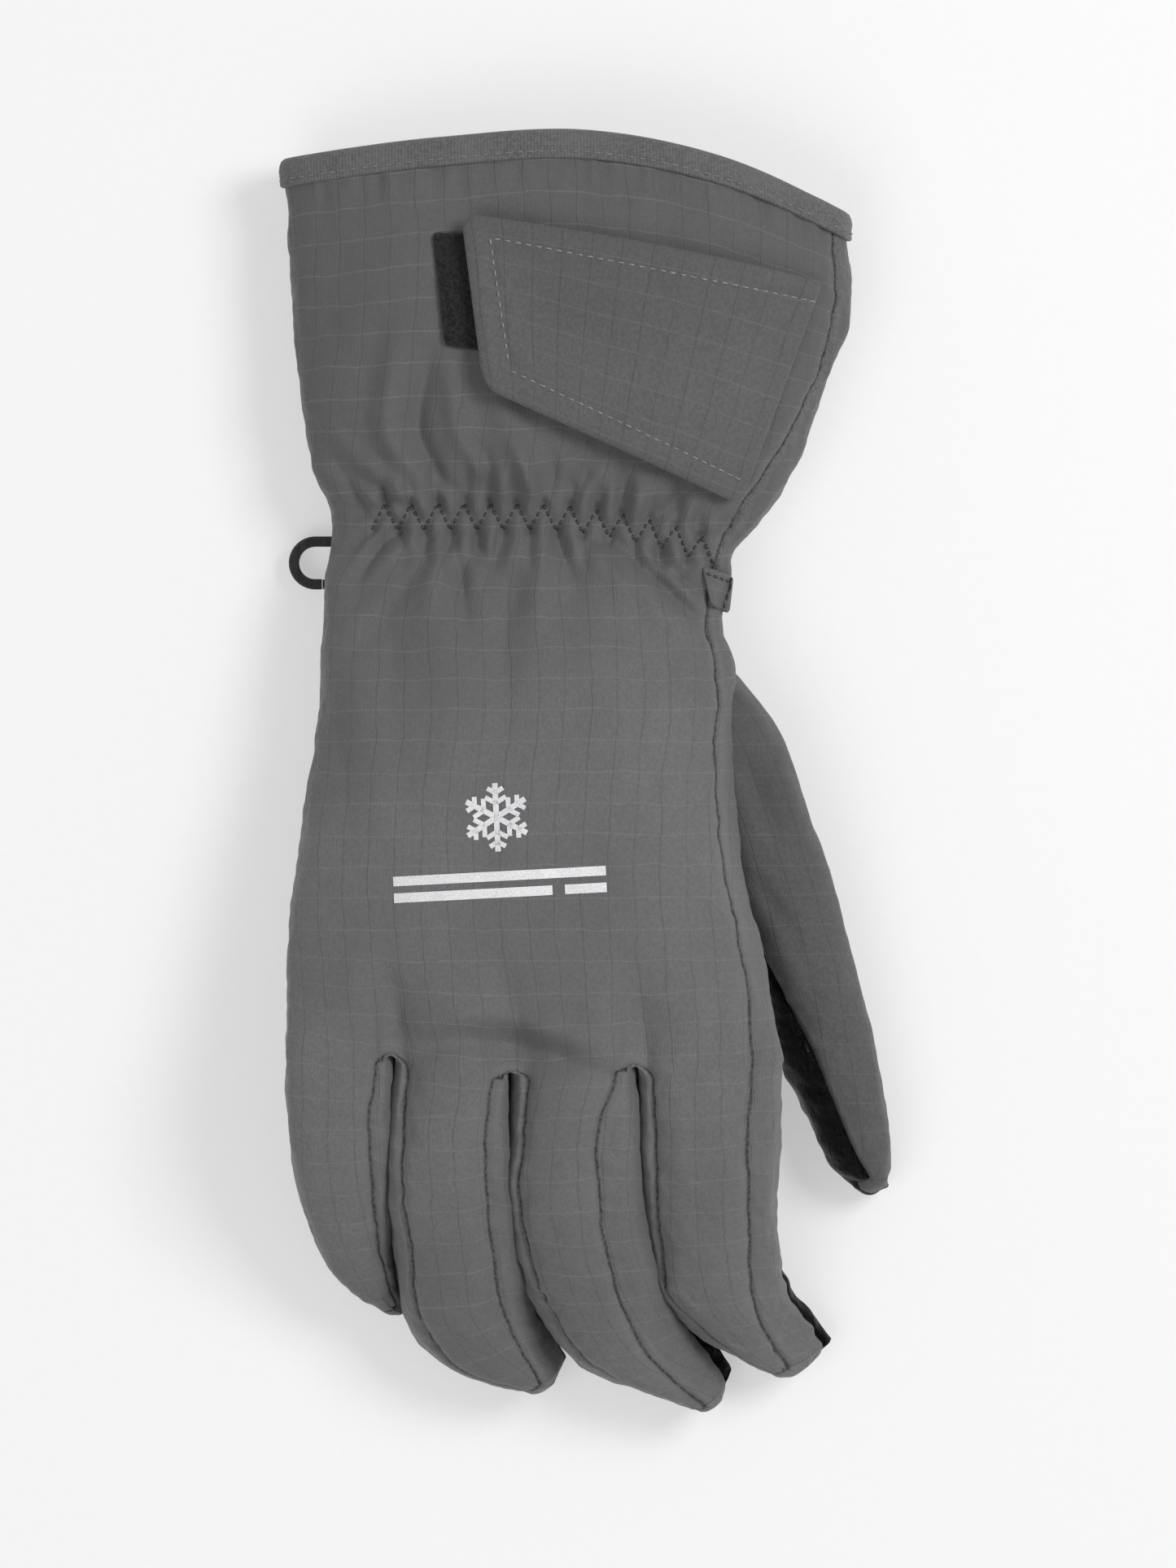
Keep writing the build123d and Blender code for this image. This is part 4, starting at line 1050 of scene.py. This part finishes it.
lining_rows = range(4, rows - 20 * DENSITY, 2 * DENSITY)
lining = np.array([offset_ring(r, -3.0 - 1.5 * float(ease(0, 60, r)))[:-1:2] for r in lining_rows])
closing = lining[-1] * [1, 1, 0.2] + [0, -4, 0.8 * lining[-1][:, 2].mean()]
lining = np.concatenate([lining, closing[None]])
inward = -0.9 * np.sign(lining[..., 2] - lining[..., 2].mean(axis=1, keepdims=True))
lining[..., 2] += inward * np.abs(cloud_on(lining, 11, 17.0))
faces = grid_faces(*lining.shape[:2], closed=True, flip=True)
obj = new_mesh("lining_skin", lining.reshape(-1, 3), faces, MATERIALS["lining"], lining[..., :2])
dress(obj, "wrist", ["gauntlet_lining", "gauntlet_padding", "hand_lining"])

# ---------------------------------------------------------------- patches and the closing flap
form = Surface(tube, grid_faces(*tube.shape[:2]))


def spread_out(length, edge):
    """Places along a side, close together at its ends, where an edge of that size rolls over."""
    ends = edge * np.array([0, 0.08, 0.25, 0.5, 0.8, 1.15])
    inner = np.linspace(ends[-1], length - ends[-1], max(2, int(length / 1.1)))
    return np.concatenate([ends[:-1], inner, length - ends[:-1][::-1]]) / length


PATCH_SEAM = 9.0  # how far a patch counts as being from the skin's seams


class Patch:
    """A four-cornered piece of cloth with round corners that lies on the gauntlet.

    Its corners run from the upper left to the right, clockwise, and bow lifts the middle of its upper edge.
    """

    def __init__(self, corner_points, radii, edge, bow=0.0, grow=0.0):
        a, b, c, d = [np.array(p, float) for p in corner_points]
        width, depth = np.linalg.norm(b - a), np.linalg.norm(d - a)
        self.u, self.v = np.meshgrid(spread_out(width, edge), spread_out(depth, edge))
        from_left, from_right = self.u * width, (1 - self.u) * width
        from_top, from_low = self.v * depth, (1 - self.v) * depth
        x, y = from_left.copy(), from_top.copy()
        for radius, across, down, left, top in zip(
            radii, (from_left, from_right, from_right, from_left), (from_top, from_top, from_low, from_low),
            (True, False, False, True), (True, True, False, False),
        ):
            inside = (across < radius) & (down < radius)
            p, q = (radius - across) / radius, (radius - down) / radius
            shrink = np.maximum(p, q) / np.maximum(np.hypot(p, q), 1e-6)
            new_x, new_y = radius - radius * p * shrink, radius - radius * q * shrink
            x = np.where(inside, new_x if left else width - new_x, x)
            y = np.where(inside, new_y if top else depth - new_y, y)
        s, t = (x / width)[..., None], (y / depth)[..., None]
        s = s + grow * (2 * s - 1) / width
        t = t + grow * (2 * t - 1) / depth
        self.plan = (1 - s) * (1 - t) * a + s * (1 - t) * b + s * t * c + (1 - s) * t * d
        self.plan[..., 1] += (bow * 4 * s * (1 - s) * (1 - t))[..., 0]
        self.edge = np.minimum(np.minimum(from_left, from_right), np.minimum(from_top, from_low))
        self.weave = paired(x, -y)
        self.ground = np.array([form.drop(*p)[0][2] for p in self.plan.reshape(-1, 2)]).reshape(self.u.shape)

    def mesh(self, name, material, low, high, edge):
        """Makes the patch between two heights above the gauntlet's form, its edges rolled over."""
        roll = np.sqrt(np.clip(1 - (1 - np.clip(self.edge / edge, 0, 1)) ** 2, 0, 1))
        middle = (low + high) / 2
        top = np.dstack([self.plan, self.ground + middle + (high - middle) * roll])
        under = np.dstack([self.plan, self.ground + middle + (low - middle) * roll])
        faces = grid_faces(*self.u.shape)
        points = np.concatenate([top.reshape(-1, 3), under.reshape(-1, 3)])
        _, first, back = np.unique(np.round(points, 4), axis=0, return_index=True, return_inverse=True)
        both = back.reshape(-1)[np.concatenate([faces, faces[:, ::-1] + self.u.size])]
        weave = np.tile(self.weave.reshape(-1, 2), (2, 1))[first]
        self.top = Surface(top, faces)
        seam_gap = np.full(len(first), PATCH_SEAM)
        return new_mesh(name, points[first], both, MATERIALS[material], weave, seam_gap)


loop = Patch([(-37.5, 133.0), (0, 130), (0, 100), (-34.6, 105.6)], (1.5, 1, 1, 1.5), 0.7)
tufts = 0.35 * cloud_on(np.dstack([loop.plan, loop.ground]), 0.9, 3.0)
rows_of_loops = 0.12 * np.sin(loop.weave[..., 1] * 2 * math.pi / 1.9)
obj = loop.mesh("loop_patch_skin", "loop", 0.0, 1.5 + tufts + rows_of_loops, 0.7)
dress(obj, "gauntlet", ["loop_patch"])

FLAP_CORNERS = [(-30.6, 137.2), (56.6, 121.0), (36.8, 67.2), (-25.2, 95.2)]
FLAP_RADII = (4.5, 1.5, 5.0, 5.0)
FLAP_STITCH = [(55.0, 116.2), (-23.6, 131.4), (-18.8, 99.4), (37.9, 72.8)]


def flap_rest(patch):
    """How high the flap's underside is above the gauntlet, lowest at the hinge."""
    return 1.0 + 2.2 * ease(0.0, 0.2, 1 - patch.u)


flap = Patch(FLAP_CORNERS, FLAP_RADII, 1.5, bow=1.2)
flap_sides = list(zip(FLAP_STITCH, FLAP_STITCH[1:]))
stitch_line = np.concatenate([along(side, count) for side, count in zip(flap_sides, (60, 30, 60))])
flat_plan = flap.plan.reshape(-1, 2)
gap = np.array([np.min(np.linalg.norm(stitch_line - p, axis=1)) for p in flat_plan]).reshape(flap.u.shape)
at_flap = np.dstack([flap.plan, 0 * flap.ground])
quilt = 0.7 * cloud_on(at_flap, (22, 16, 9), 8.0) - 0.55 * near(gap, 0.75)
quilt += 0.4 * cloud_on(at_flap, 4, 9.0) * near(gap, 3.0) + 0.35 * near(flap.edge - 3.2, 1.8)
rest = flap_rest(flap)
obj = flap.mesh("flap_outer_skin", "flap", rest + 0.8, rest + 2.3 + quilt, 1.5)
dress(obj, "flap", ["flap_outer"])
under = Patch(FLAP_CORNERS, FLAP_RADII, 0.5, bow=1.2, grow=-0.5)
rest = flap_rest(under)
dress(under.mesh("flap_lining_skin", "lining", rest, rest + 0.75, 0.5), "flap", ["flap_lining"])
hook = Patch([(-24, 131), (2, 127), (4, 92), (-19, 101)], (2, 2, 2, 2), 0.5)
hooks = 0.15 * np.sin(hook.weave[..., 0] * 4.0) * np.sin(hook.weave[..., 1] * 4.0)
dress(hook.mesh("flap_hook_skin", "hook", 2.3 + hooks, 3.1, 0.5), "flap", ["flap_hook_tape"])
tab = Patch([(27.4, 52.8), (35.2, 50.2), (34.2, 41.0), (29.6, 43.0)], (1.2, 1.2, 1.8, 1.8), 1.1)
dress(tab.mesh("wrist_tab_skin", "ripstop", -1.2, 0.9, 1.0), "wrist")

# ---------------------------------------------------------------- webbing that holds the clip
(low_x, low_y, low_z), (high_x, high_y, high_z) = corners("clip_webbing")
left, right = low_x + 0.5, high_x - 0.5
strap_line = rounded([(left, high_z + 3), (left, low_z + 2.4), ((left + right) / 2, low_z + 0.45),
                      (right, low_z + 2.4), (right, high_z + 3)], 48)
direction = unit(np.gradient(strap_line, axis=0))
normal = np.stack([-direction[:, 1], direction[:, 0]], axis=1)
wide, thick = oval(2 * math.pi * np.arange(28) / 28, 0.25, 0.5)
wide = ((high_y - low_y) / 2 - 0.1) * wide
strap = strap_line[:, None] + normal[:, None] * (0.45 * thick)[:, None]
strap = np.stack(np.broadcast_arrays(strap[..., 0], (low_y + high_y) / 2 + wide, strap[..., 1]), axis=-1)
weave = paired(strap[..., 1], lengths(strap_line)[:, None])
faces = grid_faces(*strap.shape[:2], closed=True)
obj = new_mesh("clip_webbing_skin", strap.reshape(-1, 3), faces, MATERIALS["webbing"], weave)
dress(obj, "hand", ["clip_webbing"])

for node, material in (("clip_frame", "plastic"), ("clip_gate", "plastic"), ("clip_pin", "steel")):
    frame["nodes"][node].data.materials.clear()
    frame["nodes"][node].data.materials.append(MATERIALS[material])


# ---------------------------------------------------------------- stitches
LAID_STEP = 0.5  # between the points of a line that is laid on a surface


def laid(line, ground_surface, below=False):
    """Points and directions along a line on the plan, laid on a surface or under it."""
    line = along(line, max(2, int(lengths(np.asarray(line, float))[-1] / LAID_STEP)))
    found = [ground_surface.drop(*p, below) for p in line]
    return np.array([f[0] for f in found]), np.array([f[1] for f in found])


def stitches(name, runs, body, pitch, length, radius):
    """Small raised stitches along runs of (points, directions), in the thread of the same name."""
    points, faces = [], []
    sides, steps = 6, 5
    t = np.linspace(0, 1, steps + 1)
    rise = radius * (1.5 * np.sin(np.pi * t) ** 0.6 - 0.9)
    thick = radius * (0.55 + 0.45 * np.sin(np.pi * t) ** 0.5)
    turn = 2 * math.pi * np.arange(sides)[:, None] / sides
    for line, facing_up in runs:
        run = lengths(line)
        for start in np.arange(0.2, run[-1] - length, pitch):
            up = unit(pick(start + length * t, run, facing_up))
            spine = pick(start + length * t, run, line) + up * rise[:, None]
            side = unit(np.cross(np.gradient(spine, axis=0), up))
            ring = side[:, None] * np.cos(turn) + up[:, None] * np.sin(turn)
            base = len(points)
            points += list((spine[:, None] + ring * thick[:, None, None]).reshape(-1, 3))
            faces += (grid_faces(steps + 1, sides, closed=True) + base).tolist()
            faces.append([base + k for k in range(sides)])
            faces.append([base + steps * sides + k for k in range(sides)][::-1])
    obj = new_mesh(f"{name}_stitches", np.array(points), faces, MATERIALS[f"{name}_thread"])
    dress(obj, body)


stitches("flap", [laid(side, flap.top) for side in flap_sides], "flap", 2.55, 1.75, 0.27)

hem = at_depth(BAND - 1.7, 1.12)
hem_up = at_depth(BAND - 1.7, 2.12) - hem
hem_runs = [(hem[part], hem_up[part]) for part in (slice(0, BACK + SIDE), slice(BACK + SIDE, None))]
stitches("hem", hem_runs, "gauntlet", 2.7, 2.0, 0.26)

# The palm's reinforcement is sewn on with two rows, and one row crosses the heel.
PALM_LINE = [(-46, 34), (-54, 14), (-58, -12), (-60, -40), (-54, -49), (-30, -51), (0, -51), (24, -49),
             (31, -42), (25, -20), (13, -2), (6, 16), (2, 34)]
inner_line = [(-22 + 0.95 * (x + 22), -6 + 0.95 * (y + 6)) for x, y in PALM_LINE]
palm_lines = [rounded(PALM_LINE, 120), [(-52, 38), (22, 38)], rounded(inner_line, 120)]
stitches("palm", [laid(line, surface, below=True) for line in palm_lines], "hand", 2.7, 2.0, 0.27)

wrist_runs = [laid(side, surface) for side in zip(zigzag[:-1], zigzag[1:])]
wrist_runs.append(laid([(28.2, 50.9), (34.4, 48.8)], tab.top))
stitches("wrist", wrist_runs, "wrist", 1.9, 1.55, 0.33)


# ---------------------------------------------------------------- print on the back of the hand
PRINT_CELL = 0.45  # the size of a square of the print, small enough to follow the folds
PRINT_LIFT = 0.13  # above the cloth


def strip(a, b, width):
    """A straight strip of print as rows of points on the plan."""
    a, b = np.array(a, float), np.array(b, float)
    d = unit(b - a)
    side = np.array([-d[1], d[0]])
    long = np.linspace(0, 1, max(2, int(np.linalg.norm(b - a) / PRINT_CELL)) + 1)[:, None, None]
    wide = np.linspace(-0.5, 0.5, max(1, int(width / PRINT_CELL)) + 1)[None, :, None]
    return a + (b - a) * long + side * width * wide


def heading(turn):
    """A direction on the plan."""
    return np.array([math.cos(turn), math.sin(turn)])


PRINT_CENTRE, PRINT_TURN = np.array([-21.6, -14.5]), math.radians(3)
FLAKE, ARM = np.array([0, 6.5]), 8.2
strips = []
for k in range(6):
    turn = math.pi * k / 3 + math.pi / 6
    strips.append(strip(FLAKE, FLAKE + ARM * heading(turn), 1.35))
    for share, size in ((0.42, 2.9), (0.72, 2.2)):
        start = FLAKE + share * ARM * heading(turn)
        strips += [strip(start, start + size * heading(turn + lean * math.pi / 3), 1.15) for lean in (-1, 1)]
for x_from, x_to, y in ((-25.5, 25.5, -7.6), (-25.5, 12.5, -11.6), (15.5, 25.5, -11.6)):
    strips.append(strip((x_from, y), (x_to, y), 2.3))
turned = np.array([heading(PRINT_TURN), heading(PRINT_TURN + math.pi / 2)])
points, faces = [], []
for grid in strips:
    faces += (grid_faces(*grid.shape[:2]) + len(points)).tolist()
    for x, y in grid.reshape(-1, 2) @ turned + PRINT_CENTRE:
        place, up = surface.drop(x, y)
        points.append(place + PRINT_LIFT * up)
points = np.array(points)
dress(new_mesh("hand_print", points, faces, MATERIALS["foil"], points[:, :2]), "wrist")

# ---------------------------------------------------------------- floor, light and camera
FLOOR = 3000  # half of its side
floor = new_mesh("floor", [(-FLOOR, -FLOOR, 0), (FLOOR, -FLOOR, 0), (FLOOR, FLOOR, 0), (-FLOOR, FLOOR, 0)],
                 [(0, 1, 2, 3)], ground("pale_ground"))
floor.location.z = -0.0002  # metres, so that the glove lies just clear of it

scene = bpy.context.scene
scene.view_settings.view_transform = "Standard"
world = bpy.data.worlds.new("studio")
world.use_nodes = True
background = world.node_tree.nodes["Background"]
background.inputs["Color"].default_value = (1, 1, 1, 1)
background.inputs["Strength"].default_value = 0.4
scene.world = world


def area_light(name, place, size, power):
    """A square light that shines at the middle of the glove."""
    data = bpy.data.lights.new(name, "AREA")
    data.shape, data.size, data.size_y, data.energy = "RECTANGLE", size, size, power
    light = bpy.data.objects.new(name, data)
    scene.collection.objects.link(light)
    light.location = place
    light.rotation_euler = (Vector((0, 0, 0.02)) - Vector(place)).to_track_quat("-Z", "Y").to_euler()


area_light("key", (0.85, 0.45, 1.2), 0.6, 14.5)
area_light("fill", (-0.6, -0.6, 1.4), 1.0, 8)

VIEW_HEIGHT = 2.6  # metres above the floor, far enough to flatten the perspective
FRAME_HEIGHT = 0.378  # of the glove's plane that the frame shows
SENSOR = 24
camera_data = bpy.data.cameras.new("camera")
camera_data.sensor_fit = "VERTICAL"
camera_data.sensor_height = SENSOR
camera_data.lens = SENSOR * (VIEW_HEIGHT - 0.03) / FRAME_HEIGHT
camera = bpy.data.objects.new("camera", camera_data)
scene.collection.objects.link(camera)
camera.location = (0.0, 0.0, VIEW_HEIGHT)
scene.camera = camera
